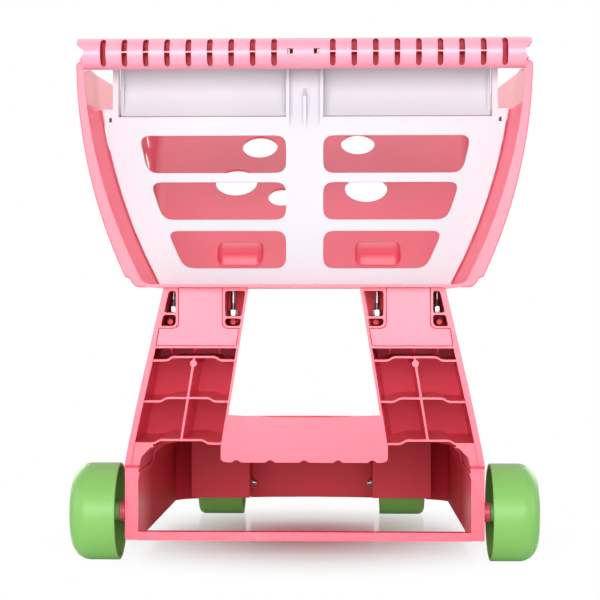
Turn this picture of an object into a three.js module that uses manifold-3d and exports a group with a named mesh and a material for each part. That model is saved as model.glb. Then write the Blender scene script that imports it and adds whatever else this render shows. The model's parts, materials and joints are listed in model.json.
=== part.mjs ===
// A child's shopping cart: a scoop basket with round holes on a two-legged base with a low rack, a
// slotted push bar, a windowed rear gate with a fold-down seat flap, and four free-running wheels.
// Sizes are in millimetres. +X is the pusher's right, +Y is forward and +Z is up from the floor.
// While the pieces are made, y = 0 is the rear face of the base; the last lines centre the cart.

import * as THREE from 'three';
import { mergeVertices } from 'three/addons/utils/BufferGeometryUtils.js';
import Module from 'manifold-3d';

const wasm = await Module();
wasm.setup();

// Fits and walls shared by the mouldings
const fitGap = 0.3;
const runningGap = 0.4;
const overrun = 5;
const wall = 3;
const ribThickness = 2;
const rodFacets = 14;
const pinFacets = 10;
const sides = [-1, 1];

// Rear wheels and their stub axles
const wheelFacets = 24;
const rearWheelRadius = 47.8;
const rearWheelWidth = 45.8;
const rearWheelTreadWidth = 30;
const rearWheelClearance = 5.8;
const rearHubRadius = 9;
const rearWheelFaceThickness = 4;
// Where the rear wheel's face turns between tread and middle: shares of its fall inward and outward
const rearWheelFaceShares = [
  { inward: 0.2, outward: 0.5 },
  { inward: 0.7, outward: 0.85 },
];
const rearAxleRadius = 4;
const rearAxleY = 17.6;
const rearAxleHeadRadius = 7;
const rearAxleHeadThickness = 2;
const hubCapRadius = 13;
const hubCapSeatDepth = 6;
const hubCapThickness = 2.5;
const hubCapRise = 2.1;
const hubCapRimDepth = 1.5;
const hubCapDomeShare = 0.6;

// Front wheels and their axles
const frontWheelRadius = 37.2;
const frontWheelWidth = 53;
const frontWheelInset = 94;
const frontWheelEdgeRadius = 7;
const frontWheelEdgeShare = 0.3;
const frontHubRadius = 8;
const frontAxleRadius = 3;
const frontAxleY = 354;
const frontAxleHeadRadius = 4.6;
const frontAxleHeadThickness = 2;

// Push-on clips that hold the front axles
const clipThickness = 1.5;
const clipRimWidth = 3.5;
const axleEndLength = 4;

// Basket: floor, ramp and side walls
const basketRearY = -16;
const basketFloorZ = 270;
const basketRimZ = 484;
const basketRampStartY = 170;
const basketRampEndY = 399;
const basketRampBlend = 34;
const basketTopHalfWidth = 219.9;
const basketBulgeRadius = 500;
const basketBulgeStartZ = 490;
const basketTaperStartY = 70;
const basketTaperPerLengthShare = 0.0875;
const basketCornerRadius = 16;
const basketLipWidth = 6;
const basketLipThickness = 3;

// Basket: rear flange round the open end
const flangeThickness = 3.5;
const flangeTopWidth = 6.6;
const flangeBottomWidth = 14.5;
const flangeEarTopZ = 485;
const flangeEarChamfer = 2.5;
const flangeCornerRadius = 10;

// Basket: the dip of the side walls under the push bar
const rimDipFrontY = 8;
const rimDipEndY = 34;

// Basket: hollow blisters at the foot of the ramp
const blisterInnerX = 51;
const blisterOuterX = 101;
const blisterRearY = 196;
const blisterTopZ = 321;
const blisterDraft = 4;
const blisterEdgeRadius = 22;

// Basket: wedges that carry the edges of the gate
const wedgeGap = 1.5;
const wedgeTopZ = 444;

// Push bar
const handleRadius = 14.65;
const handleEndInset = 2.4;
const handleY = -14;
const handleZ = 492;
const handleFacets = 16;
const handleSlotWidth = 5.5;
const handleSlotHeight = 26;
const handleSlotPitch = 20.5;
const handleFirstSlotX = 28;
const handleSlotsPerSide = 9;
const handleSlotFrontY = -11;
const handleWebThickness = 1.2;
const handleWebRecess = 0.9;
const handleBiteRadius = 7.75;
const handleBiteOffset = 1.3;
const handleWindowX = 12.6;
const handleWindowWidth = 5.5;
const handleWindowHeight = 5.4;

// Rear gate
const gateRearY = 20;
const gateThickness = 3;
const gateTopInset = 9.6;
const gateBottomInset = 11.9;
const gateTopZ = 435.3;
const gateLugTopZ = 443;
const gateRimDepth = 11;
const gateRimThickness = 2.5;
const gateWindowMargin = 31.6;
const gateWindowRadius = 10.5;
const gateSpineHalfWidth = 18.2;
const gateSpineDepth = 12;
const gateSpineTopZ = 498;
const gateSpineFootZ = 423;
const gateSpineFlareZ = 441;
const gateSpineRibTopZ = 456;
const gateSpineRibThickness = 2.8;
const gateArmInset = 35.9;
const gateArmThickness = 5.5;
const gateArmTopZ = 492;
const gateArmTabHeight = 8;
const gatePinLugInset = 25.9;
const gatePinLugThickness = 3;
const gatePinLugDepth = 28.5;
const gateSlotInset = 28.1;
const gateSlotZ = 432.5;
const gateSlotWidth = 2.8;
const gateSlotHeight = 4.2;
const prongThickness = 1.9;
const prongEndInset = 3.4;
// Heights of the lower and upper edge of each row of windows
const gateWindowRows = [
  { lowZ: 286, highZ: 323 },
  { lowZ: 334, highZ: 371 },
  { lowZ: 380, highZ: 417 },
];

// Seat flap and its pins
const flapEndGap = 0.5;
const flapBottomZ = 438;
const flapTopZ = 498;
const flapSag = 8;
const flapThickness = 3;
const flapEndThickness = 3;
const flapEndDepth = 13;
const flapEarRadius = 7;
const flapArcSteps = 6;
const seatPinRadius = 2;
const seatPinY = 43;
const seatPinZ = 435;
const seatPinReach = 5;
const seatStopGap = 0.6;

// Base: rack, side walls and bumper
const baseRearBottomZ = 21;
const baseFrontBottomZ = 16;
const baseHalfWidth = 175;
const baseFrontNarrowing = 3;
const baseSideThickness = 13;
const baseCornerY = 305;
const baseCornerRunX = 29;
const baseCornerRunY = 58;
const baseCornerPullShare = 0.2;
const baseFrontY = 386;
const rackRimZ = 115;
const rackFloorDrop = 5;
const rackRimWidth = 8;
const baseRoofRadius = 27;
const sideSlotWidth = 6.5;
const sideSlotRearY = 47;
const sideSlotFrontY = 306;
const sideSlotTopInset = 14;
const crossbarDepth = 9;
const crossbarBottomZ = 21;
const crossbarTopZ = 29.4;
const bossRadius = 10;
const frontBossRadius = 8;

// Base: front wheel wells
const wellInnerInset = 103;
const wellOuterInset = 35;
const wellRearY = 308;
const wellBottomZ = 24;
const wellHeadroom = 6;

// Base: apron between the legs
const apronTopZ = 143;
const apronBottomZ = 97;
const apronSag = 2.6;
const apronCornerRadius = 8;
const apronNotchCount = 5;
const apronNotchPitch = 33;
const apronNotchWidth = 9;
const apronNotchHeight = 2.6;

// Base: legs, whose places across the cart are measured inward from the base's half width
const legDepthTop = 74;
const legDepthFoot = 118;
const legFlareStartZ = 94;
const legNarrowing = 38;
const legFlarePowerShare = 1.08;
const legInnerTopInset = 121;
const legInnerFootInset = 94;
const legOuterLip = 6;
const legInnerWall = 2.5;
const legInnerDraftShare = 0.07;
const legOutlineSteps = 5;
const ledgeZ = 210;
const legSpineFootInset = 55;
const legSpineTopInset = 69.5;
const legRibZs = [115, 155.9, 195.9];
const legRibRise = 3.4;
const legRibPlateauHalfWidth = 19.5;
const legRibRunOut = 27.5;
// How a rib falls from its plateau to its level: shares of the run between them and of the rise
const legRibCurveShares = [
  { run: 0, rise: 1 },
  { run: 0.35, rise: 0.75 },
  { run: 0.65, rise: 0.25 },
  { run: 1, rise: 0 },
];
const legBossRadius = 3.4;
const legBossZ = 193;
const gussetHeight = 6;
const gussetDepth = 14;
const gussetInsets = [92, 68, 45.3];

// Base: leg heads with their bolt pockets, and the plates that lock them, measured like the legs
const lockStemInnerInset = 95;
const lockStemOuterInset = 53;
const lockFootTopZ = 227;
const lockFootInnerBottomInset = 108.5;
const lockFootInnerTopInset = 111.6;
const lockFootOuterBottomInset = 31;
const lockFootOuterTopInset = 34;
const lockThickness = 4;
const lockSunk = 0.4;
const lockGap = 0.7;
const lockFillet = 6;
const pocketFloorZ = 229.5;
const pocketDepth = 45;
const pocketRim = 2.2;
const pocketCornerRun = 2.5;
const pocketFilletRun = 4.5;
const pegRadius = 2.7;
const pegZ = 233.5;
const pegRearY = 12;

// Bolts through the basket floor and their captive nuts
const boltRadius = 2.5;
const boltHeadRadius = 5;
const boltHeadThickness = 3;
const boltY = 37;
const innerBoltInset = 103.5;
const outerBoltInset = 44;
const innerShelfZ = 239;
const outerShelfZ = 242.5;
const nutRadius = 4.4;
const nutThickness = 6;
const nutFacets = 6;

// Joining and cutting

// Shared corners are merged, and triangles that collapse on an axis are left out.
function toSolid(geometry) {
  const bare = geometry.clone();
  bare.deleteAttribute('normal');
  bare.deleteAttribute('uv');
  const merged = mergeVertices(bare);
  const vertProperties = new Float32Array(merged.attributes.position.array);
  const corners = merged.index.array;
  const triVerts = [];
  for (let i = 0; i < corners.length; i += 3) {
    const [a, b, c] = corners.slice(i, i + 3);
    if (a !== b && b !== c && c !== a) {
      triVerts.push(a, b, c);
    }
  }
  const mesh = { numProp: 3, vertProperties, triVerts: new Uint32Array(triVerts) };
  return new wasm.Manifold(new wasm.Mesh(mesh));
}

function toGeometry(solid) {
  const mesh = solid.getMesh();
  const geometry = new THREE.BufferGeometry();
  geometry.setAttribute('position', new THREE.BufferAttribute(mesh.vertProperties, 3));
  geometry.setIndex(new THREE.BufferAttribute(mesh.triVerts, 1));
  geometry.computeVertexNormals();
  return geometry;
}

function joined(solids) {
  return solids.reduce((sum, solid) => sum.add(solid));
}

function cut(solid, cutters) {
  return cutters.reduce((rest, cutter) => rest.subtract(cutter), solid);
}

// Basic forms: each span is a pair of places along one axis

function block(spanX, spanY, spanZ) {
  const spans = [spanX, spanY, spanZ];
  const geometry = new THREE.BoxGeometry(...spans.map(([from, to]) => Math.abs(to - from)));
  geometry.translate(...spans.map(([from, to]) => (from + to) / 2));
  return toSolid(geometry);
}

// A rod along one axis; centre gives its two other coordinates in X, Y, Z order.
function rod(axis, radius, [from, to], [first, second], facets = rodFacets) {
  const geometry = new THREE.CylinderGeometry(radius, radius, Math.abs(to - from), facets);
  const middle = (from + to) / 2;
  if (axis === 'x') {
    geometry.rotateZ(Math.PI / 2);
    geometry.translate(middle, first, second);
  } else if (axis === 'y') {
    geometry.translate(first, middle, second);
  } else {
    geometry.rotateX(Math.PI / 2);
    geometry.translate(first, second, middle);
  }
  return toSolid(geometry);
}

// A prism along one axis, from an outline in the other two axes in X, Y, Z order.
function prism(axis, shape, [from, to], curveSegments = 3) {
  const depth = Math.abs(to - from);
  const geometry = new THREE.ExtrudeGeometry(shape, { depth, bevelEnabled: false, curveSegments });
  const start = Math.min(from, to);
  if (axis === 'x') {
    const ahead = new THREE.Vector3(0, 1, 0);
    const up = new THREE.Vector3(0, 0, 1);
    const across = new THREE.Vector3(1, 0, 0);
    geometry.applyMatrix4(new THREE.Matrix4().makeBasis(ahead, up, across));
    geometry.translate(start, 0, 0);
  } else if (axis === 'y') {
    geometry.rotateX(Math.PI / 2);
    geometry.translate(0, start + depth, 0);
  } else {
    geometry.translate(0, 0, start);
  }
  return toSolid(geometry);
}

function outline(points) {
  return new THREE.Shape(points.map(([x, y]) => new THREE.Vector2(x, y)));
}

// An outline whose corners are rounded off over the same length on both of their edges. A point may
// give a length of its own after its two coordinates.
function roundedOutline(points, commonRun) {
  const corners = points.map(([x, y]) => new THREE.Vector2(x, y));
  const shape = new THREE.Shape();
  corners.forEach((corner, i) => {
    const before = corners[(i + corners.length - 1) % corners.length];
    const after = corners[(i + 1) % corners.length];
    const run = points[i][2] ?? commonRun;
    const start = before.clone().sub(corner).setLength(run).add(corner);
    const end = after.clone().sub(corner).setLength(run).add(corner);
    if (i === 0) {
      shape.moveTo(start.x, start.y);
    } else {
      shape.lineTo(start.x, start.y);
    }
    shape.quadraticCurveTo(corner.x, corner.y, end.x, end.y);
  });
  shape.closePath();
  return shape;
}

// A body skinned over rings of points, one ring after another, with a flat face at each end.
function loft(rings) {
  const count = rings[0].length;
  const index = [];
  for (let ring = 0; ring < rings.length - 1; ring++) {
    for (let i = 0; i < count; i++) {
      const a = ring * count + i;
      const b = ring * count + ((i + 1) % count);
      index.push(a, b, b + count, a, b + count, a + count);
    }
  }
  const last = (rings.length - 1) * count;
  for (let i = 1; i < count - 1; i++) {
    index.push(0, i + 1, i);
    index.push(last, last + i, last + i + 1);
  }
  const geometry = new THREE.BufferGeometry();
  geometry.setAttribute('position', new THREE.Float32BufferAttribute(rings.flat(2), 3));
  geometry.setIndex(index);
  return toSolid(geometry);
}

// A closed profile of [radius, distance outward] turned about the X axis, on the left or right.
function turned(profile, side, innerX, [y, z], facets = wheelFacets) {
  const closed = [...profile, profile[0]];
  const points = closed.map(([radius, along]) => new THREE.Vector2(radius, along));
  const geometry = new THREE.LatheGeometry(points, facets, Math.PI / facets);
  geometry.rotateZ((-side * Math.PI) / 2);
  geometry.translate(side * innerX, y, z);
  return toSolid(geometry);
}

// Sizes that follow from the ones above

const rearWheelInnerX = baseHalfWidth + rearWheelClearance;
const frontWheelInnerX = baseHalfWidth - frontWheelInset;
const handleHalfLength = basketTopHalfWidth - handleEndInset;
const gateArmInnerX = basketTopHalfWidth - gateArmInset;
const gatePinLugX = basketTopHalfWidth - gatePinLugInset;
const gateSlotX = basketTopHalfWidth - gateSlotInset;
const flapHalfWidth = gateArmInnerX - flapEndGap;
const baseFrontHalfWidth = baseHalfWidth - baseFrontNarrowing;
const wellInnerX = baseHalfWidth - wellInnerInset;
const wellOuterX = baseHalfWidth - wellOuterInset;
const legInnerTopX = baseHalfWidth - legInnerTopInset;
const legInnerFootX = baseHalfWidth - legInnerFootInset;
const legSpineFootX = baseHalfWidth - legSpineFootInset;
const legSpineTopX = baseHalfWidth - legSpineTopInset;
const lockStemInnerX = baseHalfWidth - lockStemInnerInset;
const lockStemOuterX = baseHalfWidth - lockStemOuterInset;
const lockFootInnerBottomX = baseHalfWidth - lockFootInnerBottomInset;
const lockFootInnerTopX = baseHalfWidth - lockFootInnerTopInset;
const lockFootOuterBottomX = baseHalfWidth - lockFootOuterBottomInset;
const lockFootOuterTopX = baseHalfWidth - lockFootOuterTopInset;
// Each bolt on one side: its place across the cart, and the top of the shelf under its nut
const boltPlaces = [
  { name: 'inner', x: baseHalfWidth - innerBoltInset, shelfZ: innerShelfZ },
  { name: 'outer', x: baseHalfWidth - outerBoltInset, shelfZ: outerShelfZ },
];
const flatToTip = Math.cos(Math.PI / wheelFacets);
const rearAxleZ = rearWheelRadius * flatToTip;
const frontAxleZ = frontWheelRadius * flatToTip;
const legTopZ = basketFloorZ - wall - fitGap;
const handleBottomZ = handleZ - handleRadius;
const gateFrontY = gateRearY + gateThickness;
const gateBottomZ = basketFloorZ + fitGap;
const spineFrontY = gateRearY + gateSpineDepth;
const flapRearY = spineFrontY + fitGap;
const lockBottomZ = ledgeZ + fitGap + lockSunk;
const rackFloorZ = rackRimZ - rackFloorDrop;
const baseInnerX = baseHalfWidth - baseSideThickness;
const hubEndGap = fitGap * 2;

// Half the basket's width at the outer edge of its rear flange, on one large arc.
function flangeHalfWidth(z) {
  const drop = Math.max(0, basketBulgeStartZ - z);
  const arc = Math.sqrt(basketBulgeRadius ** 2 - drop ** 2);
  return basketTopHalfWidth - basketBulgeRadius + arc;
}

// How far a height lies below the basket's rim, as a share of the basket's height
const basketHeight = basketRimZ - basketFloorZ;

function shareBelowRim(z) {
  return (basketRimZ - z) / basketHeight;
}

// Half the basket's width inside at its rear end, where the flange stands out by its own width.
function mouthHalfWidth(z) {
  const growth = (flangeBottomWidth - flangeTopWidth) * shareBelowRim(z);
  return flangeHalfWidth(z) - flangeTopWidth - growth;
}

function basketHalfWidth(y, z) {
  const taper = Math.max(0, y - basketTaperStartY) * basketTaperPerLengthShare;
  return mouthHalfWidth(z) - taper;
}

function gateHalfWidth(z) {
  const growth = (gateBottomInset - gateTopInset) * shareBelowRim(z);
  return mouthHalfWidth(z) - gateTopInset - growth;
}

// The basket's floor: level at the rear, then a ramp, with a smooth bend between.
const rampSlope = basketHeight / (basketRampEndY - basketRampStartY);

function floorSlope(y) {
  const share = (y - basketRampStartY + basketRampBlend) / (basketRampBlend * 2);
  return rampSlope * Math.min(1, Math.max(0, share));
}

function floorHeight(y) {
  const run = y - basketRampStartY + basketRampBlend;
  if (run <= 0) {
    return basketFloorZ;
  }
  if (run >= basketRampBlend * 2) {
    return basketFloorZ + (y - basketRampStartY) * rampSlope;
  }
  return basketFloorZ + (run ** 2 * rampSlope) / (basketRampBlend * 4);
}

function legOuterX(z) {
  const share = Math.max(0, (z - legFlareStartZ) / (legTopZ - legFlareStartZ));
  return baseHalfWidth - legNarrowing * share ** legFlarePowerShare;
}

function legInnerX(z) {
  const share = (z - apronBottomZ) / (legTopZ - apronBottomZ);
  return legInnerFootX - (legInnerFootX - legInnerTopX) * share;
}

// The leaning line of the leg's upright rib
function legSpineX(z) {
  const share = (z - rackRimZ) / (ledgeZ - rackRimZ);
  return legSpineFootX - (legSpineFootX - legSpineTopX) * share;
}

// Heights from one level to another, in equal steps
function levels(from, to, steps) {
  return Array.from({ length: steps + 1 }, (_, i) => from + ((to - from) * i) / steps);
}

// Basket

const tubSideSteps = 6;
const tubCornerSteps = 3;
const tubTopRoom = 70;
const tubFrontRoom = 18;

// One ring of the tub at a station along its length, standing off its inner face by an offset.
function tubRing(y, offset) {
  const slopeStretch = Math.hypot(1, floorSlope(y));
  const bottomZ = floorHeight(y) - offset * slopeStretch;
  const radius = basketCornerRadius;
  const half = [];
  levels(basketRimZ + tubTopRoom, bottomZ + radius, tubSideSteps).forEach((z) => {
    half.push([basketHalfWidth(y, z) + offset, z]);
  });
  const cornerX = basketHalfWidth(y, bottomZ + radius) + offset - radius;
  for (let i = 1; i <= tubCornerSteps; i++) {
    const angle = (Math.PI / 2) * (i / tubCornerSteps);
    half.push([cornerX + radius * Math.cos(angle), bottomZ + radius - radius * Math.sin(angle)]);
  }
  const right = half.map(([x, z]) => [x, y, z]);
  const left = half.map(([x, z]) => [-x, y, z]).reverse();
  return [...right, ...left];
}

function tubBody(offset, rearY) {
  const bendRearY = basketRampStartY - basketRampBlend;
  const bendFrontY = basketRampStartY + basketRampBlend;
  const stations = [
    rearY,
    basketTaperStartY,
    ...levels(bendRearY, bendFrontY, 4),
    ...levels(bendFrontY, basketRampEndY + tubFrontRoom, 2).slice(1),
  ];
  return loft(stations.map((y) => tubRing(y, offset)));
}

// Everything above the rim, which dips under the ends of the push bar.
function aboveRim() {
  const dipZ = handleBottomZ - fitGap;
  const topZ = basketRimZ + tubTopRoom + overrun;
  const frontY = basketRampEndY + tubFrontRoom + overrun;
  const shape = outline([
    [basketRearY - overrun, dipZ],
    [rimDipFrontY, dipZ],
    [rimDipEndY, basketRimZ],
    [frontY, basketRimZ],
    [frontY, topZ],
    [basketRearY - overrun, topZ],
  ]);
  const reach = basketTopHalfWidth + basketLipWidth + overrun;
  return prism('x', shape, [-reach, reach]);
}

function rearFlange() {
  const bottomZ = basketFloorZ - wall;
  const side = levels(flangeEarTopZ - flangeEarChamfer, bottomZ + flangeCornerRadius, 6);
  const right = side.map((z) => [flangeHalfWidth(z), z]);
  const cornerX = flangeHalfWidth(bottomZ);
  const topX = flangeHalfWidth(flangeEarTopZ) - flangeEarChamfer;
  const shape = new THREE.Shape();
  shape.moveTo(topX, flangeEarTopZ);
  right.forEach(([x, z]) => shape.lineTo(x, z));
  shape.quadraticCurveTo(cornerX, bottomZ, cornerX - flangeCornerRadius, bottomZ);
  shape.lineTo(flangeCornerRadius - cornerX, bottomZ);
  const [lowX, lowZ] = right[right.length - 1];
  shape.quadraticCurveTo(-cornerX, bottomZ, -lowX, lowZ);
  right.reverse().slice(1).forEach(([x, z]) => shape.lineTo(-x, z));
  shape.lineTo(-topX, flangeEarTopZ);
  shape.closePath();
  return prism('y', shape, [basketRearY, basketRearY + flangeThickness]);
}

// A wedge on a side wall that grows towards the gate and hides the gap round its edge.
function gateWedge(side) {
  const rings = levels(basketFloorZ, wedgeTopZ, 5).map((z) => {
    const wallX = mouthHalfWidth(z);
    const gateX = gateHalfWidth(z) + wedgeGap;
    return [
      [side * (wallX + wall / 2), basketRearY, z],
      [side * (wallX + wall / 2), gateFrontY, z],
      [side * gateX, gateFrontY, z],
      [side * gateX, gateRearY - fitGap, z],
      [side * wallX, basketRearY, z],
    ];
  });
  return loft(side > 0 ? rings : rings.map((ring) => [...ring].reverse()));
}

// The outside of a blister that rises from the floor into the ramp, grown by an offset.
function blister(side, offset) {
  const topZ = blisterTopZ + offset;
  const rearY = blisterRearY - offset;
  const frontY = basketRampStartY + (blisterTopZ - basketFloorZ) / rampSlope + overrun;
  const shape = new THREE.Shape();
  shape.moveTo(rearY - blisterDraft, basketFloorZ - wall - overrun);
  shape.lineTo(frontY + wall, basketFloorZ - wall - overrun);
  shape.lineTo(frontY + wall, topZ);
  shape.lineTo(rearY + blisterEdgeRadius, topZ);
  shape.quadraticCurveTo(rearY, topZ, rearY, topZ - blisterEdgeRadius);
  shape.closePath();
  return prism('x', shape, [side * (blisterInnerX - offset), side * (blisterOuterX + offset)]);
}

// Round holes in the ramp: places across it, as shares of the basket's half width, and places up it
// and radii, as shares of the basket's height
const rampHoleShares = [
  { across: -0.2819, up: 0.7944, radius: 0.0972 },
  { across: -0.3947, up: 0.5776, radius: 0.114 },
  { across: -0.1501, up: 0.4907, radius: 0.0738 },
  { across: 0.2515, up: 0.8112, radius: 0.0939 },
  { across: 0.2924, up: 0.5393, radius: 0.115 },
  { across: -0.0091, up: 0.7056, radius: 0.0584 },
];

// Round holes in each side wall: places along it, as shares of the basket's length, and places up it
// and radii, as shares of the basket's height
const sideHoleShares = [
  { along: 0.2699, up: 0.7196, radius: 0.0794 },
  { along: 0.1976, up: 0.4206, radius: 0.0935 },
  { along: 0.3566, up: 0.4766, radius: 0.0654 },
  { along: 0.3229, up: 0.1963, radius: 0.0794 },
  { along: 0.4771, up: 0.6729, radius: 0.114 },
  { along: 0.5108, up: 0.3832, radius: 0.0738 },
  { along: 0.6265, up: 0.8224, radius: 0.0654 },
  { along: 0.7108, up: 0.6822, radius: 0.0561 },
  { along: 0.7614, up: 0.7991, radius: 0.0514 },
];
const holeFacets = 12;

function rampHole({ across, up, radius: radiusShare }) {
  const x = basketTopHalfWidth * across;
  const z = basketFloorZ + basketHeight * up;
  const radius = basketHeight * radiusShare;
  const y = basketRampStartY + (z - basketFloorZ) / rampSlope;
  const length = basketRampBlend;
  const geometry = new THREE.CylinderGeometry(radius, radius, length, holeFacets);
  geometry.rotateX(Math.PI / 2 + Math.atan(rampSlope));
  geometry.translate(x, y, z);
  return toSolid(geometry);
}

function sideHole(side, { along, up, radius: radiusShare }) {
  const y = basketRearY + (basketRampEndY - basketRearY) * along;
  const z = basketFloorZ + basketHeight * up;
  const radius = basketHeight * radiusShare;
  const middle = basketHalfWidth(y, z);
  const reach = basketRampBlend;
  return rod('x', radius, [side * (middle - reach), side * (middle + reach)], [y, z], holeFacets);
}

function basketTub() {
  const inside = tubBody(0, basketRearY - overrun);
  const lipBand = block(
    [-basketTopHalfWidth - basketLipWidth - overrun, basketTopHalfWidth + basketLipWidth + overrun],
    [rimDipEndY, basketRampEndY + tubFrontRoom + overrun],
    [basketRimZ - basketLipThickness, basketRimZ],
  );
  const lip = tubBody(basketLipWidth, basketRearY).intersect(lipBand);
  const skin = joined([tubBody(wall, basketRearY), lip]);
  const solidBlisters = sides.map((side) => blister(side, 0));
  const clearInside = cut(inside, solidBlisters);
  const open = cut(skin, [aboveRim(), clearInside]);
  const flange = cut(rearFlange(), [inside]);
  const trim = tubBody(wall / 2, basketRearY);
  const wedges = sides.map((side) => gateWedge(side).intersect(trim));
  const hollows = sides.map((side) => blister(side, -wall));
  const boltSpan = [basketFloorZ - wall - overrun, basketFloorZ + overrun];
  const boltHoles = sides.flatMap((side) => boltPlaces.map(({ x }) => (
    rod('z', boltRadius + fitGap, boltSpan, [side * x, boltY])
  )));
  return cut(joined([open, flange, ...wedges]), [
    ...hollows,
    ...boltHoles,
    ...rampHoleShares.map(rampHole),
    ...sides.flatMap((side) => sideHoleShares.map((hole) => sideHole(side, hole))),
  ]);
}

// Push bar

// An upright slot's outline: straight sides with a half-round at each end
function stadium(x, z, width, height) {
  const radius = width / 2;
  const straight = height / 2 - radius;
  const shape = new THREE.Shape();
  shape.absarc(x, z + straight, radius, 0, Math.PI);
  shape.absarc(x, z - straight, radius, Math.PI, Math.PI * 2);
  return shape;
}

// A slot ends just past the bar's middle, where the bar is still taller than the slot.
function handleSlot(x) {
  const shape = stadium(x, handleZ, handleSlotWidth, handleSlotHeight);
  return prism('y', shape, [handleY - handleRadius - overrun, handleSlotFrontY]);
}

// The bar is cored from behind by a row of slots, and one thin web crosses all but the end slots.
function handleBar() {
  const slots = [];
  const webs = [];
  const ends = [];
  sides.forEach((side) => {
    for (let i = 0; i < handleSlotsPerSide; i++) {
      slots.push(handleSlot(side * (handleFirstSlotX + i * handleSlotPitch)));
    }
    const lastSlotX = handleFirstSlotX + (handleSlotsPerSide - 1) * handleSlotPitch;
    webs.push(block(
      [side * (handleFirstSlotX - handleSlotWidth), side * (lastSlotX - handleSlotWidth)],
      [handleY - handleRadius + handleWebRecess, handleSlotFrontY + wall],
      [handleZ - handleWebThickness / 2, handleZ + handleWebThickness / 2],
    ));
    const barSpan = [handleY - handleRadius - overrun, handleY + handleRadius + overrun];
    const biteX = side * (handleHalfLength + handleBiteOffset);
    ends.push(rod('y', handleBiteRadius, barSpan, [biteX, handleZ]));
    ends.push(block(
      [side * (handleWindowX - handleWindowWidth / 2), side * (handleWindowX + handleWindowWidth / 2)],
      barSpan,
      [handleZ - handleWindowHeight / 2, handleZ + handleWindowHeight / 2],
    ));
    ends.push(block(
      [side * (mouthHalfWidth(handleZ - handleRadius) - fitGap), side * (handleHalfLength + overrun)],
      [handleY - handleRadius - overrun, basketRearY + flangeThickness + fitGap],
      [handleZ - handleRadius - overrun, flangeEarTopZ + fitGap],
    ));
  });
  const bar = rod('x', handleRadius, [-handleHalfLength, handleHalfLength], [handleY, handleZ],
    handleFacets);
  return cut(joined([cut(bar, slots), ...webs]), ends);
}

// Rear gate

function gateOutline(inset, topZ) {
  const bottomZ = gateBottomZ + inset;
  const edge = levels(bottomZ, topZ, 6).map((z) => [gateHalfWidth(z) - inset, z]);
  const mirrored = edge.map(([x, z]) => [-x, z]).reverse();
  return outline([...edge, ...mirrored]);
}

function gateWindow(side, { lowZ, highZ }) {
  const innerX = gateSpineHalfWidth;
  const points = [
    [side * innerX, lowZ],
    [side * (gateHalfWidth(lowZ) - gateWindowMargin), lowZ],
    [side * (gateHalfWidth(highZ) - gateWindowMargin), highZ],
    [side * innerX, highZ],
  ];
  const shape = roundedOutline(points, gateWindowRadius);
  return prism('y', shape, [gateRearY - overrun, gateFrontY + overrun], 4);
}

// The spine's hollow runs out into the panel at its foot.
function spineChannel() {
  const halfWidth = gateSpineHalfWidth - wall;
  const deepY = spineFrontY - wall;
  const shape = outline([
    [gateRearY - overrun, gateSpineFootZ],
    [gateRearY, gateSpineFootZ],
    [deepY, gateSpineFlareZ],
    [deepY, gateSpineTopZ - wall],
    [gateRearY - overrun, gateSpineTopZ - wall],
  ]);
  return prism('x', shape, [-halfWidth, halfWidth]);
}

function spineRib() {
  const deepY = spineFrontY - wall / 2;
  const shape = outline([
    [gateRearY, gateSpineFootZ],
    [deepY, gateSpineFootZ],
    [deepY, gateSpineRibTopZ + (deepY - gateRearY)],
    [gateRearY, gateSpineRibTopZ],
  ]);
  return prism('x', shape, [-gateSpineRibThickness / 2, gateSpineRibThickness / 2]);
}

// One of the two prongs that reach from the spine into the square windows of the push bar.
function spineProng(side) {
  const outerX = handleWindowX + handleWindowWidth / 2 - fitGap;
  const halfHeight = handleWindowHeight / 2 - fitGap;
  return block(
    [side * (outerX - prongThickness), side * outerX],
    [handleY - handleRadius + prongEndInset, spineFrontY - wall / 2],
    [handleZ - halfHeight, handleZ + halfHeight],
  );
}

function gateArm(side) {
  const spanX = [side * gateArmInnerX, side * (gateArmInnerX + gateArmThickness)];
  const lugLowZ = seatPinZ - flapEarRadius;
  const tabRearY = handleY + handleRadius + fitGap;
  return [
    block(spanX, [gateRearY, spineFrontY], [lugLowZ, gateArmTopZ]),
    block(spanX, [gateRearY, gateRearY + gatePinLugDepth], [lugLowZ, gateLugTopZ]),
    block(spanX, [tabRearY, gateRearY + wall], [gateArmTopZ - gateArmTabHeight, gateArmTopZ]),
    block(
      [side * gatePinLugX, side * (gatePinLugX + gatePinLugThickness)],
      [gateRearY, gateRearY + gatePinLugDepth],
      [lugLowZ, gateLugTopZ - wall],
    ),
  ];
}

function seatPinSpan(side) {
  const innerX = flapHalfWidth - flapEndThickness - fitGap;
  return [side * innerX, side * (gatePinLugX + seatPinReach)];
}

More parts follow.
